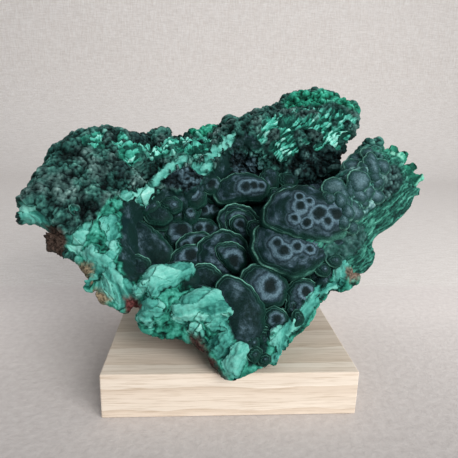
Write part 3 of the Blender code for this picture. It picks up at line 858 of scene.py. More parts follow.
# Buds are small round lobes in the gaps: centre, depth, half sizes, turn and eye.
BUDS = (
    ("shell_top_a", (69, 149, -27), 7, 11.3, 9.1, -20, 0.0),
    ("shell_top_b", (77, 154, -25), 5, 10.5, 7.3, -15, 0.0),
    ("shell_top_c", (69, 120, 22), 6, 8.1, 6.9, -10, 0.0),
    ("shell_top_d", (61, 151, -25), 4, 8.0, 6.4, 0, 0.0),
    ("seat_bud_a", (52, 150, -31), 5, 6.5, 6.4, 0, 2.4),
    ("seat_bud_b", (44, 147, -34), 5, 5.7, 5.5, 0, 2.4),
    ("shoulder_a", (64, 111, 21), 7, 5.3, 5.3, 0, 2.0),
    ("shoulder_b", (71, 109, 23), 6, 4.6, 6.0, 0, 2.0),
    ("shoulder_c", (75, 101, 22), 6, 4.6, 6.0, 0, 2.0),
    ("shoulder_d", (72, 95, 20), 6, 4.6, 5.2, 0, 1.6),
    ("shoulder_e", (79, 93, 16), 5, 4.6, 4.5, 0, 0.0),
    ("left_bud_a", (-26, 129, -29), 5, 6.2, 6.1, 0, 2.5),
    ("left_bud_b", (-16, 131, -35), 5, 7.1, 6.3, 0, 2.5),
    ("left_bud_c", (-32, 118, -35), 5, 6.9, 6.1, 0, 2.3),
    ("left_bud_d", (-37, 126, -28), 5, 6.1, 6.1, 0, 2.3),
    ("left_bud_e", (-45, 130, -21), 5, 7.5, 6.0, 15, 0.0),
    ("left_bud_f", (-22, 136, -22), 5, 6.9, 6.1, 0, 2.7),
    ("left_bud_g", (-11, 143, -27), 5, 7.1, 6.2, 0, 2.4),
    ("left_bud_h", (-52, 119, -28), 5, 9.1, 6.0, -35, 0.0),
    ("left_bud_i", (-57, 124, -14), 5, 7.3, 5.8, 20, 0.0),
    ("low_bud_a", (47, 59, -9), 6, 6.0, 8.4, 0, 2.3),
    ("low_bud_b", (55, 68, -11), 6, 6.2, 6.2, 0, 2.1),
    ("low_bud_c", (60, 69, 3), 6, 5.3, 5.2, 0, 2.0),
    ("low_bud_d", (67, 73, 8), 5, 5.2, 4.5, 0, 1.6),
    ("low_bud_e", (40, 50, -8), 5, 4.6, 5.2, 0, 1.6),
    ("low_bud_f", (34, 41, -7), 4, 3.9, 4.4, 0, 1.3),
    ("low_bud_g", (41, 37, 1), 4, 3.8, 5.0, 0, 1.3),
    ("low_bud_h", (24, 83, -18), 5, 4.3, 6.5, 0, 0.0),
    ("low_bud_i", (10, 82, -20), 5, 5.0, 7.3, 0, 0.0),
    ("low_bud_j", (8, 32, -10), 4, 5.1, 5.1, 0, 0.0),
    ("low_bud_k", (19, 26, -2), 4, 3.7, 4.9, 0, 1.2),
    ("coil_ring", (86, 124, 24), 5, 7.5, 8.5, 0, 4.7),
)
VERTEX_STEP = 1.0
SPREAD = 1.12
SHOULDER = 2.7
LIP = 0.3
UPPER_LEFT = math.radians(125)
STEPS, STEP_RISE = (2.3, 4.4), 0.45
QUIET = ("long_slope", "slope_low", "wall_left", "wall_mid", "wall_low", "behind_fold", "long_dome", "small_disc")
BROKEN_SIDES = {"lower_pair": -50, "upper_pair": -25}


def reach_table(outline):
    """The outline's distance from the centre, for 360 headings, with its corners rounded off."""
    corners = np.array(outline, float)
    closed = np.vstack([corners, corners[:1]])
    steps = np.linspace(0, 1, 24, endpoint=False)
    points = np.vstack([a + (b - a) * steps[:, None] for a, b in zip(closed[:-1], closed[1:])])
    headings = np.degrees(np.arctan2(points[:, 1], points[:, 0])) % 360
    order = np.argsort(headings)
    reach = np.interp(np.arange(360), headings[order], np.hypot(*points[order].T), period=360)
    kernel = np.hanning(43) / np.hanning(43).sum()
    return np.convolve(np.tile(reach, 3), kernel, mode="same")[360:720]


def velvet_lobe(number, name, centre, tilt, depth, outline, eyes):
    reach = reach_table(outline) * SPREAD
    size = float(reach.mean())
    segments = int(np.clip(2 * math.pi * size / VERTEX_STEP, 32, 190))
    rows_above = max(9, segments // 4)
    rows_below = max(4, rows_above // 4)
    bpy.ops.mesh.primitive_uv_sphere_add(segments=segments, ring_count=rows_above + rows_below, radius=1)
    obj = bpy.context.object
    obj.name = name
    ball = places_of(obj.data)
    heading = np.arctan2(ball[:, 1], ball[:, 0])
    row = np.arccos(np.clip(ball[:, 2], -1, 1)) * (rows_above + rows_below) / math.pi
    slope = math.pi / 2 * np.where(row < rows_above, row / rows_above, 1 + (row - rows_above) / rows_below)
    out = np.sin(slope)
    ball = np.stack([out * np.cos(heading), out * np.sin(heading), np.cos(slope)], axis=1)
    out = np.clip(out, 0, 1)
    edge = np.interp(np.degrees(heading) % 360, np.arange(361), np.append(reach, reach[0]))
    edge *= 1 + 0.025 * np.sin(heading * 7 + number) + 0.015 * np.sin(heading * 17 + number * 2)
    across, up = np.cos(heading) * edge * out, np.sin(heading) * edge * out
    cap = (1 - out**SHOULDER) ** (1 / SHOULDER)
    out_of_face = np.where(ball[:, 2] > 0, depth * cap, -0.7 * depth * cap)
    ring = np.full(len(ball), 9.0)
    for eye_across, eye_up, eye_size in eyes:
        far = np.hypot(across - eye_across, up - eye_up) / eye_size
        ring = np.minimum(ring, far + 0.95 * (depth < 6.5))
    wave = np.array([noise.noise(Vector((a, b, number * 9.0)) / 7) for a, b in zip(across, up)])
    fine = np.array([noise.noise(Vector((a, b, number * 9.0)) / 2.6) for a, b in zip(across, up)])
    top = np.clip(ball[:, 2] * 3, 0, 1)
    eye_dome = np.clip(1 - (ring / 1.9) ** 2, 0, 1) * (1.8 if len(eyes) > 1 else 0.8)
    lip = LIP * np.exp(-((out - 0.95) / 0.03) ** 2)
    upper = smooth_step(0.55 + 0.6 * np.cos(heading - UPPER_LEFT) + 0.5 * wave)
    inset = edge * (1 - out) + 0.9 * wave + 0.35 * np.sin(heading * 9 + number)
    for step in STEPS:
        out_of_face -= top * STEP_RISE * upper * smooth_step((step - inset) / 0.6 + 0.5)
    uneven = 1.0 if depth > 4 else 2.0
    out_of_face += top * (eye_dome + lip + uneven * (0.8 * wave + 0.2 * fine))
    turn = math.radians(tilt)
    local = np.stack([across, up * math.cos(turn) - out_of_face * math.sin(turn),
                      up * math.sin(turn) + out_of_face * math.cos(turn)], axis=1)
    keep(obj.data, "ring", ring + 0.3 * wave + 0.12 * fine)
    width = 0.06 * min(1, 6.5 / depth)
    strength = 1.0 if depth > 4 else 0.45
    # A pale rim line on the shoulder: partly the lobe's own green edge, and a painted highlight where it is strong on
    # the upper-left side.
    keep(obj.data, "rim_and_highlight", strength * np.exp(-(((cap - 0.5) / width) ** 2)) * (ball[:, 2] > 0) * (0.06 + 0.94 * upper**1.5))
    flank = np.where(ball[:, 2] > 0, smooth_step((0.42 - cap) / 0.15), 1.0)
    side = math.radians(BROKEN_SIDES.get(name, 0))
    keep(obj.data, "flank", flank)
    keep(obj.data, "broken", smooth_step((0.75 - cap) / 0.3) * smooth_step(2 * np.cos(heading - side) - 0.6) * (name in BROKEN_SIDES))
    keep(obj.data, "dusty", np.full(len(ball), 0.85 * min(1, max(0, (centre[0] + 0.6 * centre[2] - 68) / 18))))
    # How much painted blue-grey sheen a lobe gets; the quiet lobes get less.
    keep(obj.data, "sheen_share", np.full(len(ball), 0.3 if name in QUIET else 1.0))
    keep(obj.data, "inset", inset)
    keep(obj.data, "upper", upper)
    spoke = obj.data.attributes.new("spoke", "FLOAT_VECTOR", "POINT")
    fan = np.stack([np.cos(heading) * 2.4, np.sin(heading) * 2.4, out * size * 0.4 + number * 5], axis=1)
    spoke.data.foreach_set("vector", fan.astype(np.float32).ravel())
    move_to(obj.data, into_room(local + np.array(centre)))
    return obj


def bud(number, name, centre, depth, half_across, half_up, turn, eye):
    """A velvet lobe whose outline is a slightly uneven oval."""
    headings = np.radians(np.arange(0, 360, 24))
    swing = 1 + 0.07 * np.sin(headings * 3 + number)
    across, up = half_across * np.cos(headings) * swing, half_up * np.sin(headings) * swing
    lean = math.radians(turn)
    outline = np.stack([across * math.cos(lean) - up * math.sin(lean),
                        across * math.sin(lean) + up * math.cos(lean)], axis=1)
    eyes = ((0.1 * half_across, -0.1 * half_up, eye),) if eye else ()
    return velvet_lobe(number, name, centre, 12, depth, outline, eyes)


def wing_scales(first):
    """Small overlapping lobes in uneven rows over the coiled ridge of the right wing."""
    made = []
    for row in range(14):
        for place in range(10):
            across = 60 + 6.6 * (place + 0.5 * (row % 2))
            up = 92 + 5.6 * row
            shift = noise.noise_vector(Vector((across, up, 3.0)) / 5)
            across, up = across + 6.0 * shift[0], up + 6.0 * shift[1]
            here = np.array([(across, up)])
            if edge_distance(here, RIGHT_AREAS["coils"])[0] > 1.0 and shift[0] + shift[1] < 0.25:
                size = 4.2 + 3.6 * shift[2]
                made.append(bud(first + len(made), "scale_%d_%d" % (row, place), (across, up, right_front(here)[0] - 0.4),
                                4.0, size, size * 1.2, 90 * shift[2], size * 0.5 * (shift[2] > 0)))
    return made


lobes = [velvet_lobe(number, *facts) for number, facts in enumerate(LOBES)]
lobes += [bud(number, *facts) for number, facts in enumerate(BUDS, len(LOBES))]
lobes += wing_scales(len(lobes))
velvet = []
for name, first, last in (("velvet_shells", 0, 16), ("velvet_cushions", 16, 44), ("velvet_buds", 44, None)):
    group = lobes[first:last]
    only(*group)
    bpy.ops.object.join()
    velvet.append(bpy.context.object)
    velvet[-1].name = name
print("velvet lobes:", len(lobes))

# %% [markdown]
# The back holds no fine relief, so a Decimate modifier thins it. The front stays as it is.

# %% Part the front from the back
def parted(obj, name, chosen):
    """Moves the chosen faces of an object to a new one."""
    other = obj.copy()
    other.data = obj.data.copy()
    other.name = name
    bpy.context.scene.collection.objects.link(other)
    for each, drop in ((obj, chosen), (other, ~chosen)):
        bm = bmesh.new()
        bm.from_mesh(each.data)
        bm.faces.ensure_lookup_table()
        bmesh.ops.delete(bm, geom=[bm.faces[index] for index in np.nonzero(drop)[0]], context="FACES")
        bm.to_mesh(each.data)
        bm.free()
    return other


def kept(mesh, name):
    values = np.empty(len(mesh.vertices), np.float32)
    mesh.attributes[name].data.foreach_get("value", values)
    return values.astype(float)


behind = parted(stone, "rock_back", face_share(stone.data, kept(stone.data, "front")) < 0.5)
crust_crest = parted(stone, "crust_crest", face_share(stone.data, places_of(stone.data)[:, 0]) > 0.058)
crust_right = parted(stone, "crust_right", face_share(stone.data, places_of(stone.data)[:, 0]) > 0.015)
crust_middle = parted(stone, "crust_middle", face_share(stone.data, places_of(stone.data)[:, 0]) > -0.05)
stone.name = "crust_left"
only(behind)
thin = behind.modifiers.new("thin", "DECIMATE")
thin.ratio = 0.24
bpy.ops.object.modifier_apply(modifier=thin.name)
for obj in (stone, crust_middle, crust_right, crust_crest, behind, wing, *velvet):
    obj.data.polygons.foreach_set("use_smooth", np.ones(len(obj.data.polygons), bool))
    obj.data.update()
    print(obj.name, len(obj.data.polygons), "faces")

# %% [markdown]
# # Finishes
# Colours are sRGB hex values as a paint chart gives them, turned to linear light by one function.
# One helper adds a node with its settings and its links, so each finish reads as a short recipe.

# %% Helpers for materials
def linear(hex_colour):
    parts = [int(hex_colour[i:i + 2], 16) / 255 for i in (1, 3, 5)]
    return (*[p / 12.92 if p <= 0.04045 else ((p + 0.055) / 1.055) ** 2.4 for p in parts], 1.0)


def add(tree, kind, settings=None, inputs=None):
    """Adds a node. An input that is a socket is linked, and any other is its value."""
    made = tree.nodes.new(kind)
    for name, value in (settings or {}).items():
        setattr(made, name, value)
    for name, value in (inputs or {}).items():
        if isinstance(value, bpy.types.NodeSocket):
            tree.links.new(value, made.inputs[name])
        else:
            made.inputs[name].default_value = value
    return made


def ramp(tree, factor, stops):
    made = add(tree, "ShaderNodeValToRGB", inputs={"Fac": factor})
    elements = made.color_ramp.elements
    while len(elements) < len(stops):
        elements.new(0.5)
    for element, (place, colour) in zip(elements, stops):
        element.position = place
        element.color = linear(colour)
    return made.outputs["Color"]


def blended(tree, share, first, second, kind="MIX"):
    made = add(tree, "ShaderNodeMix", {"data_type": "RGBA", "blend_type": kind})
    for slot_index, value in ((0, share), (6, first), (7, second)):
        if isinstance(value, bpy.types.NodeSocket):
            tree.links.new(value, made.inputs[slot_index])
        elif isinstance(value, str):
            made.inputs[slot_index].default_value = linear(value)
        else:
            made.inputs[slot_index].default_value = value
    return made.outputs[2]


def worked(tree, operation, *values, clamp=False):
    made = add(tree, "ShaderNodeMath", {"operation": operation, "use_clamp": clamp})
    for slot_index, value in enumerate(values):
        if isinstance(value, bpy.types.NodeSocket):
            tree.links.new(value, made.inputs[slot_index])
        else:
            made.inputs[slot_index].default_value = value
    return made.outputs[0]


def number(tree, name, output="Fac"):
    return add(tree, "ShaderNodeAttribute", {"attribute_name": name}).outputs[output]


def finish(name, roughness, **settings):
    """A Principled material. Settings that are the same all over go on the shader itself."""
    made = bpy.data.materials.new(name)
    made.use_nodes = True
    shader = made.node_tree.nodes["Principled BSDF"]
    shader.inputs["Roughness"].default_value = roughness
    for key, value in settings.items():
        shader.inputs[key.replace("_", " ")].default_value = value
    return made, made.node_tree, shader


def relief(tree, shader, height, distance, strength=1.0):
    bump = add(tree, "ShaderNodeBump", inputs={"Height": height, "Distance": distance, "Strength": strength})
    tree.links.new(bump.outputs["Normal"], shader.inputs["Normal"])


def noise_of(tree, size, detail=3.0, roughness=0.55, stretch=(1, 1, 1), vector=None):
    """Noise with patches of about this many metres, on the piece's own coordinates."""
    if vector is None:
        vector = add(tree, "ShaderNodeTexCoord").outputs["Object"]
    placed = add(tree, "ShaderNodeMapping", inputs={"Vector": vector, "Scale": stretch})
    made = add(tree, "ShaderNodeTexNoise", inputs={"Vector": placed.outputs[0], "Scale": 1 / size,
                                                   "Detail": detail, "Roughness": roughness})
    return made.outputs["Fac"]


# %% [markdown]
# Velvet malachite is a mat of needles a few hundredths of a millimetre thick. Seen along the
# needles it is nearly black, and seen across them it shines blue-grey. That shine is painted sheen
# here: each eye has a dark centre, a painted blue-grey ring and a green-black margin. The thin
# outer rim is bright green, and is painted brighter on its upper-left side as a painted highlight.
# The walls of the hollow and the coils of the right wing have ramps of their own.

# %% Velvet finish
VELVET_SHEEN = {"Sheen_Weight": 0.05, "Sheen_Roughness": 0.35, "Sheen_Tint": linear("#8fb4be"),
                "Specular_IOR_Level": 0.04}
EYE_SHEEN_STOPS = ((0.0, "#172324"), (0.19, "#19282a"), (0.27, "#394d57"), (0.34, "#65808e"), (0.42, "#607a88"),
             (0.5, "#324550"), (0.55, "#26373d"), (0.64, "#4d6470"), (0.76, "#2a3e44"), (0.86, "#18302f"), (1.0, "#142a29"))
PAINTED_SHEEN_STOPS = ((0.36, "#122a28"), (0.48, "#1b3235"), (0.57, "#384c57"), (0.66, "#566e7b"), (0.8, "#74919d"))
MARGIN_STOPS = ((0.0, "#1c463d"), (0.2, "#183832"), (1.0, "#132827"))
SCALE_STOPS = ((0.215, "#000000"), (0.25, "#ffffff"), (0.29, "#000000"), (0.45, "#000000"), (0.485, "#b8b8b8"), (0.53, "#000000"))
EYE_SPAN = 3.0
MARGIN_SPAN = 9.0


def varied(tree, value, pattern, amount):
    """A value pushed up and down by a pattern that lies round one half."""
    return worked(tree, "MULTIPLY_ADD", worked(tree, "SUBTRACT", pattern, 0.5), amount, value)


velvet_finish, tree, shader = finish("velvet_malachite", 0.6, **VELVET_SHEEN)
fan = add(tree, "ShaderNodeAttribute", {"attribute_name": "spoke"}).outputs["Vector"]
streaks = add(tree, "ShaderNodeTexNoise", inputs={"Vector": fan, "Scale": 1.1, "Detail": 3.0}).outputs["Fac"]
patches = noise_of(tree, 7 * MM)
grit = noise_of(tree, 0.8 * MM)
ring = varied(tree, varied(tree, number(tree, "ring"), streaks, 0.6), patches, 0.75)
eyes = ramp(tree, worked(tree, "DIVIDE", ring, EYE_SPAN), EYE_SHEEN_STOPS)
# Painted sheen: blue-grey streaks across each lobe, fainter on the quiet lobes.
nap = varied(tree, varied(tree, noise_of(tree, 15 * MM, 2.0), streaks, 0.55), patches, 0.5)
silk = blended(tree, number(tree, "sheen_share"), ramp(tree, nap, ((0.45, "#142a29"), (0.62, "#1d3335"), (0.75, "#455a65"))), ramp(tree, nap, PAINTED_SHEEN_STOPS))
beyond = add(tree, "ShaderNodeMapRange", {"interpolation_type": "SMOOTHSTEP"},
             {"Value": ring, "From Min": 1.5, "From Max": 2.4}).outputs["Result"]
inset = number(tree, "inset")
inner = add(tree, "ShaderNodeMapRange", {"interpolation_type": "SMOOTHSTEP"},
            {"Value": varied(tree, inset, patches, 3.5), "From Min": 2.2, "From Max": 6.0}).outputs["Result"]
margin = ramp(tree, worked(tree, "DIVIDE", inset, MARGIN_SPAN), MARGIN_STOPS)
colour = blended(tree, inner, margin, blended(tree, beyond, eyes, silk))
scales = worked(tree, "MULTIPLY", ramp(tree, worked(tree, "DIVIDE", inset, MARGIN_SPAN), SCALE_STOPS),
                worked(tree, "MULTIPLY", number(tree, "upper"), 0.6))
colour = blended(tree, scales, colour, "#5c9a8e")
colour = blended(tree, number(tree, "flank"), colour, "#12302b")
dust = ramp(tree, worked(tree, "DIVIDE", varied(tree, inset, patches, 2.5), 5.0), ((0.02, "#7fb8aa"), (0.12, "#42716a"), (0.35, "#2c4a4c"), (0.7, "#4c6c74"), (1.0, "#6c8d95")))
colour = blended(tree, worked(tree, "MULTIPLY", number(tree, "dusty"), 0.75), colour, dust)
colour = blended(tree, number(tree, "broken"), colour, ramp(tree, streaks, ((0.35, "#255247"), (0.65, "#62a596"))))
# Painted highlight: the pale rim, brightest on the upper-left side of each lobe.
rim_and_highlight = worked(tree, "MULTIPLY", number(tree, "rim_and_highlight"), add(tree, "ShaderNodeMapRange", {}, {
    "Value": patches, "From Min": 0.4, "From Max": 0.58, "To Min": 0.3, "To Max": 1.5}).outputs["Result"])
colour = blended(tree, worked(tree, "MULTIPLY", rim_and_highlight, 1.1, clamp=True), colour, "#97e0cc")
colour = blended(tree, 1.0, colour, ramp(tree, grit, ((0.3, "#9aa8a6"), (0.7, "#ffffff"))), "MULTIPLY")
tree.links.new(colour, shader.inputs["Base Color"])
relief(tree, shader, blended(tree, 0.5, streaks, grit), 0.3 * MM, 0.5)

# %% [markdown]
# The druse is the same needles grown as berries. Light reaches only their tops, and the colour
# paints that light: painted shade makes the creases almost black, and a painted highlight makes the
# tops a dusty blue-green. Broken needles show their pale green inside, each flake in its own tone and
# painted lighter towards its raised edge. Stains of the iron-rich matrix show along the lower edge.

# %% Crust finish
BERRY_TONES = {
    "dark_green": ("#040b0b", "#102a27", "#254d48", "#41756c", "#6ba296"),
    "dusty": ("#050c0d", "#192b2b", "#36504d", "#55726f", "#87a39f"),
    "bright": ("#05201a", "#104c3a", "#217c64", "#3ba389", "#78cfba"),
    "black": ("#020505", "#071213", "#142829", "#2b4847", "#567876"),
    "blue": ("#04090a", "#111c1f", "#26383e", "#445c66", "#6f8994"),
}
BERRY_PLACES = (0.05, 0.25, 0.5, 0.75, 0.98)
FLAKE_STOPS = ((0.05, "#133f37"), (0.28, "#257060"), (0.46, "#3d9a87"), (0.64, "#5fbbab"), (0.82, "#98dccf"))
BROKEN_STOPS = ((0.05, "#2c7067"), (0.3, "#4a998d"), (0.55, "#65b0a4"), (0.8, "#80c5b9"), (0.95, "#a3dad1"))
STAINS = {"tan_a": "#8a7d66", "tan_b": "#9a8a70", "red_rock": "#6b3d3c", "brown_lump": "#4d3f38",
          "under_red": "#4a3431", "right_brown": "#7b6a5e"}

crust_finish, tree, shader = finish("malachite_crust", 0.6, Sheen_Weight=0.04, Sheen_Roughness=0.4,
                                    Sheen_Tint=linear("#9fcfc4"), Specular_IOR_Level=0.05)
crease_shading = number(tree, "crease_shading")
mottle = noise_of(tree, 16 * MM, 2.0)
spots = noise_of(tree, 1.7 * MM, 4.0, 0.65)
fibres = noise_of(tree, 1.6 * MM, 4.0, 0.6)
patches = noise_of(tree, 9 * MM, 3.0)
height = varied(tree, crease_shading, spots, 0.8)
tones = {name: ramp(tree, height, tuple(zip(BERRY_PLACES, stops))) for name, stops in BERRY_TONES.items()}
berries = blended(tree, ramp(tree, mottle, ((0.45, "#000000"), (0.6, "#ffffff"))), tones["dark_green"], tones["dusty"])
# Painted shade: the underside of the upper wing, the crevice and the gap get the near-black tones.
for place, tone_name in (("crest", "bright"), ("green_back", "bright"), ("black_back", "black"),
                         ("gap_shade", "black"), ("crevice_shade", "black"), ("wing_foot", "dark_green"),
                         ("wing_underside_shade", "black"), ("wing_blue", "blue"), ("grey_lump", "dusty"), ("moss_fold", "blue")):
    berries = blended(tree, number(tree, place), berries, tones[tone_name])
# The rough crust is painted the same way: darker in its creases as painted shade, lighter on its tops.
rough = ramp(tree, varied(tree, height, patches, 0.5), (
    (0.05, "#04110e"), (0.3, "#0f3b32"), (0.55, "#24705f"), (0.8, "#459a89"), (1.0, "#6cbdae")))
# The walls of the hollow get blue-grey patches of painted sheen.
eyes = ramp(tree, varied(tree, patches, fibres, 0.5), ((0.5, "#122a28"), (0.6, "#1f3639"), (0.75, "#4a606b")))
eyes = blended(tree, ramp(tree, number(tree, "ring"), ((0.3, "#000000"), (0.8, "#ffffff"))), eyes, "#10282a")
tone = varied(tree, varied(tree, number(tree, "tone"), spots, 0.5), patches, 0.35)
flaky = ramp(tree, tone, FLAKE_STOPS)
broken = ramp(tree, varied(tree, tone, patches, 0.3), BROKEN_STOPS)
crease = ramp(tree, number(tree, "border"), ((0.1, "#103a32"), (0.5, "#5f9f92"), (0.8, "#ffffff")))
flaky = blended(tree, 0.9, flaky, crease, "MULTIPLY")
broken = blended(tree, 0.85, broken, crease, "MULTIPLY")
colour = blended(tree, number(tree, "druse"), rough, berries)
colour = blended(tree, number(tree, "leafy"), colour, flaky)
colour = blended(tree, number(tree, "flaky"), colour, flaky)
colour = blended(tree, number(tree, "velvet"), colour, eyes)
colour = blended(tree, number(tree, "pale"), colour, broken)
ragged = ramp(tree, fibres, ((0.35, "#606060"), (0.6, "#ffffff")))
for place, tint in STAINS.items():
    stained = blended(tree, 1.0, tint, ragged, "MULTIPLY")
    colour = blended(tree, number(tree, place), colour, stained)
tree.links.new(colour, shader.inputs["Base Color"])
relief(tree, shader, blended(tree, 0.5, fibres, spots), 0.6 * MM, 0.7)

# %% Fibrous wing finish
wing_finish, tree, shader = finish("fibrous_malachite", 0.6, Sheen_Weight=0.04, Sheen_Roughness=0.4,
                                   Sheen_Tint=linear("#9fcfc4"), Specular_IOR_Level=0.05)
spots = noise_of(tree, 2.0 * MM)
patches = noise_of(tree, 8 * MM, 3.0)
# The coils, pits and crown are painted darker in their creases and lighter on their tops, as painted shade and
# highlight.
height = varied(tree, number(tree, "crease_shading"), spots, 0.45)
coils = ramp(tree, height, ((0.1, "#102a27"), (0.35, "#2e5351"), (0.6, "#4c6f72"), (0.85, "#6f9596"), (1.0, "#9cc4bd")))
coils = blended(tree, ramp(tree, patches, ((0.45, "#000000"), (0.65, "#ffffff"))), coils, blended(
    tree, 1.0, coils, "#8fd0bc", "MULTIPLY"))
black = ramp(tree, height, tuple(zip(BERRY_PLACES, BERRY_TONES["black"])))
green = ramp(tree, height, tuple(zip(BERRY_PLACES, BERRY_TONES["dark_green"])))
tone = varied(tree, varied(tree, number(tree, "tone"), spots, 0.5), patches, 0.5)
sides = ramp(tree, tone, ((0.1, "#0d2925"), (0.3, "#1b4a41"), (0.5, "#327163"), (0.7, "#4b8f7f"), (0.95, "#84c4b4")))
leaf = ramp(tree, tone, ((0.1, "#114438"), (0.4, "#236f5a"), (0.65, "#3a927a"), (0.9, "#74bda6")))
sides = blended(tree, number(tree, "blade"), sides, leaf)
crease = ramp(tree, number(tree, "border"), ((0.1, "#163a33"), (0.7, "#ffffff")))
sides = blended(tree, 0.5, sides, crease, "MULTIPLY")
colour = blended(tree, number(tree, "coils"), sides, coils)
colour = blended(tree, number(tree, "pits"), colour, black)
colour = blended(tree, number(tree, "crown"), colour, green)
back_rock = ramp(tree, varied(tree, patches, spots, 0.6), ((0.3, "#1c2b24"), (0.45, "#4c4236"), (0.55, "#2f5a48"), (0.7, "#5f9a83")))
colour = blended(tree, number(tree, "behind"), colour, back_rock)
tree.links.new(colour, shader.inputs["Base Color"])
relief(tree, shader, spots, 0.5 * MM, 0.6)

# %% [markdown]
# Behind the crust is the rock that it grew on: brown iron-stained stone with tan and dark red
# patches, and green where copper water ran over it.

# %% Matrix rock finish
rock_finish, tree, shader = finish("iron_stained_rock", 0.85, Specular_IOR_Level=0.3)
broad = noise_of(tree, 22 * MM, 3.0)
fine = noise_of(tree, 3 * MM, 5.0, 0.65)
stains = ramp(tree, worked(tree, "ADD", worked(tree, "MULTIPLY", broad, 0.65), worked(tree, "MULTIPLY", fine, 0.35)), (
    (0.3, "#2c221d"), (0.43, "#54443a"), (0.52, "#7a6552"), (0.6, "#5a3a34"), (0.7, "#a08b70")))
copper = ramp(tree, noise_of(tree, 17 * MM, 4.0, 0.6), ((0.5, "#000000"), (0.6, "#ffffff")))
green = ramp(tree, fine, ((0.3, "#0d2a20"), (0.55, "#1f5c48"), (0.8, "#4aa384")))
colour = blended(tree, copper, stains, green)
tree.links.new(colour, shader.inputs["Base Color"])
relief(tree, shader, fine, 1.2 * MM, 0.8)

# %% [markdown]
# The block is sanded, unvarnished paulownia. Its growth rings run round an axis that lies below
# and behind the board, so the same solid rings give long lines on the top and front and arcs on
# the ends. Fine pores follow the grain.

# %% Wood finish
wood_finish, tree, shader = finish("sanded_paulownia", 0.7, Specular_IOR_Level=0.3)
where = add(tree, "ShaderNodeTexCoord").outputs["Object"]
sway = noise_of(tree, 60 * MM, 2.0, 0.5, (0.25, 1, 1))
bent = add(tree, "ShaderNodeVectorMath", {"operation": "MULTIPLY_ADD"},
           {0: (0, 1, 1), 2: where}).outputs[0]
add_sway = tree.nodes[bent.node.name]
tree.links.new(sway, add_sway.inputs[1])
add_sway.inputs[0].default_value = (0, 6 * MM, 9 * MM)
rings = add(tree, "ShaderNodeTexWave", {"wave_type": "RINGS", "rings_direction": "X", "wave_profile": "SAW"}, {
    "Vector": add(tree, "ShaderNodeMapping", inputs={"Vector": bent, "Location": (0, -0.03, 0.09)}).outputs[0],
    "Scale": 28.0, "Distortion": 1.2, "Detail": 2.0, "Detail Scale": 1.0}).outputs["Fac"]
pores = noise_of(tree, 0.9 * MM, 3.0, 0.6, (0.04, 1, 1))
lines = noise_of(tree, 4 * MM, 2.0, 0.5, (0.03, 1, 1))
base = ramp(tree, rings, ((0.0, "#e3d9cd"), (0.7, "#ddd0c2"), (1.0, "#cfc0b0")))
line_tone = ramp(tree, lines, ((0.35, "#e3dcd2"), (0.65, "#fffdf9")))
pore_tone = ramp(tree, pores, ((0.3, "#cfc4b6"), (0.5, "#ffffff")))
colour = blended(tree, 0.45, base, line_tone, "MULTIPLY")
colour = blended(tree, 0.6, colour, pore_tone, "MULTIPLY")
tree.links.new(colour, shader.inputs["Base Color"])
relief(tree, shader, pores, 0.15 * MM, 0.4)

# %% Give each piece its finish and its place in the frame
for obj, look in (*((piece, crust_finish) for piece in (stone, crust_middle, crust_right, crust_crest)),
                  (behind, rock_finish), (wing, wing_finish), *((piece, velvet_finish) for piece in velvet)):
    obj.data.materials.clear()
    obj.data.materials.append(look)
    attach(obj, "root")
    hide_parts("malachite")
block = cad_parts["wood_block"]
for place in block.material_slots:
    place.material = wood_finish

# %% [markdown]
# # Floor, light and camera
# The floor sweeps up into a plain backdrop. A large soft light stands at the front right, as a
# window would, and a pale world fills the shadows.

# %% Floor and light
MAT_END = 0.138
bpy.ops.object.select_all(action="DESELECT")
bpy.ops.mesh.primitive_plane_add(size=1, location=(0, 0, 0))
floor = bpy.context.object
floor.name = "floor"
floor.scale = (4.0, 2.6, 1.0)
bpy.ops.object.transform_apply(location=True, rotation=True, scale=True)
bpy.ops.object.mode_set(mode="EDIT")
bpy.ops.mesh.select_all(action="DESELECT")
bm = bmesh.from_edit_mesh(floor.data)
for edge in bm.edges:
    if all(vertex.co.y > 1.2 for vertex in edge.verts):
        edge.select_set(True)
bm.select_flush_mode()
bmesh.update_edit_mesh(floor.data)
bpy.ops.mesh.extrude_edges_move(TRANSFORM_OT_translate={"value": (0, 0, 2.2)})
bpy.ops.object.mode_set(mode="OBJECT")
sweep = floor.modifiers.new("sweep", "BEVEL")
sweep.width = 0.35
sweep.segments = 12
bpy.ops.object.modifier_apply(modifier=sweep.name)
bpy.ops.object.shade_smooth()
floor_finish, tree, shader = finish("matt_backdrop", 0.9, Specular_IOR_Level=0.1)
depth = add(tree, "ShaderNodeSeparateXYZ", inputs={0: add(tree, "ShaderNodeTexCoord").outputs["Object"]})
far = add(tree, "ShaderNodeMapRange", {"interpolation_type": "SMOOTHSTEP"},
          {"Value": depth.outputs["Y"], "From Min": MAT_END - 0.008, "From Max": MAT_END + 0.008}).outputs["Result"]
creases = noise_of(tree, 5 * MM, 8.0, 0.62)
# Painted light: the mat is painted darker at the front and lighter towards the back, which lifts the stone's shadow and
# the falloff of the light.
mat_front_shade = ramp(tree, creases, ((0.3, "#827d7b"), (0.7, "#918c8a")))
mat_back_light = ramp(tree, creases, ((0.3, "#d8d1ce"), (0.7, "#e6e0dd")))
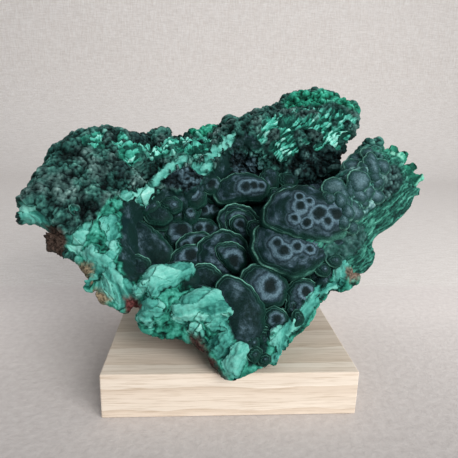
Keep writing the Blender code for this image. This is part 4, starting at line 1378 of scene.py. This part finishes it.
reach = add(tree, "ShaderNodeMapRange", inputs={"Value": depth.outputs["Y"], "From Min": -0.26, "From Max": 0.07}).outputs["Result"]
mat = blended(tree, reach, mat_front_shade, mat_back_light)
weft = ramp(tree, noise_of(tree, 2.4 * MM, 3.0, 0.6, (0.12, 1, 1)), ((0.3, "#e0dcd9"), (0.7, "#f2efed")))
warp = ramp(tree, noise_of(tree, 2.4 * MM, 3.0, 0.6, (1, 1, 0.12)), ((0.3, "#efebe8"), (0.7, "#ffffff")))
backdrop = blended(tree, 1.0, weft, warp, "MULTIPLY")
tree.links.new(blended(tree, far, mat, backdrop), shader.inputs["Base Color"])
relief(tree, shader, creases, 1.0 * MM, 0.5)
floor.data.materials.append(floor_finish)

world = bpy.data.worlds.new("soft_room")
bpy.context.scene.world = world
world.use_nodes = True
world.node_tree.nodes["Background"].inputs["Color"].default_value = linear("#eef1f5")
world.node_tree.nodes["Background"].inputs["Strength"].default_value = 0.46
bpy.context.scene.view_settings.view_transform = "Standard"


def soft_light(name, place, aim, size, power, colour):
    bpy.ops.object.light_add(type="AREA", location=place)
    light = bpy.context.object
    light.name = name
    light.data.size = size
    light.data.energy = power
    light.data.color = linear(colour)[:3]
    light.rotation_euler = (Vector(aim) - Vector(place)).to_track_quat("-Z", "Y").to_euler()
    return light


soft_light("window", (0.7, -1.1, 0.62), (0, 0, 0.1), 1.0, 25, "#fffdfa")
soft_light("backdrop_wash", (0.3, 0.2, 1.6), (0, 1.2, 0.3), 1.2, 4, "#ffffff")

# %% Camera
VIEW_PITCH, VIEW_YAW, VIEW_ROLL = math.radians(14.48), math.radians(-3.91), math.radians(1.57)
bpy.ops.object.camera_add(location=(-20.7 * MM, -321.0 * MM, 183.9 * MM))
camera = bpy.context.object
turned = (Matrix.Rotation(VIEW_YAW, 3, "Z") @ Matrix.Rotation(math.pi / 2 - VIEW_PITCH, 3, "X")
          @ Matrix.Rotation(VIEW_ROLL, 3, "Z"))
camera.rotation_euler = turned.to_euler()
camera.data.sensor_width = 36
camera.data.lens = 35.0
camera.data.clip_start = 0.01
bpy.context.scene.camera = camera
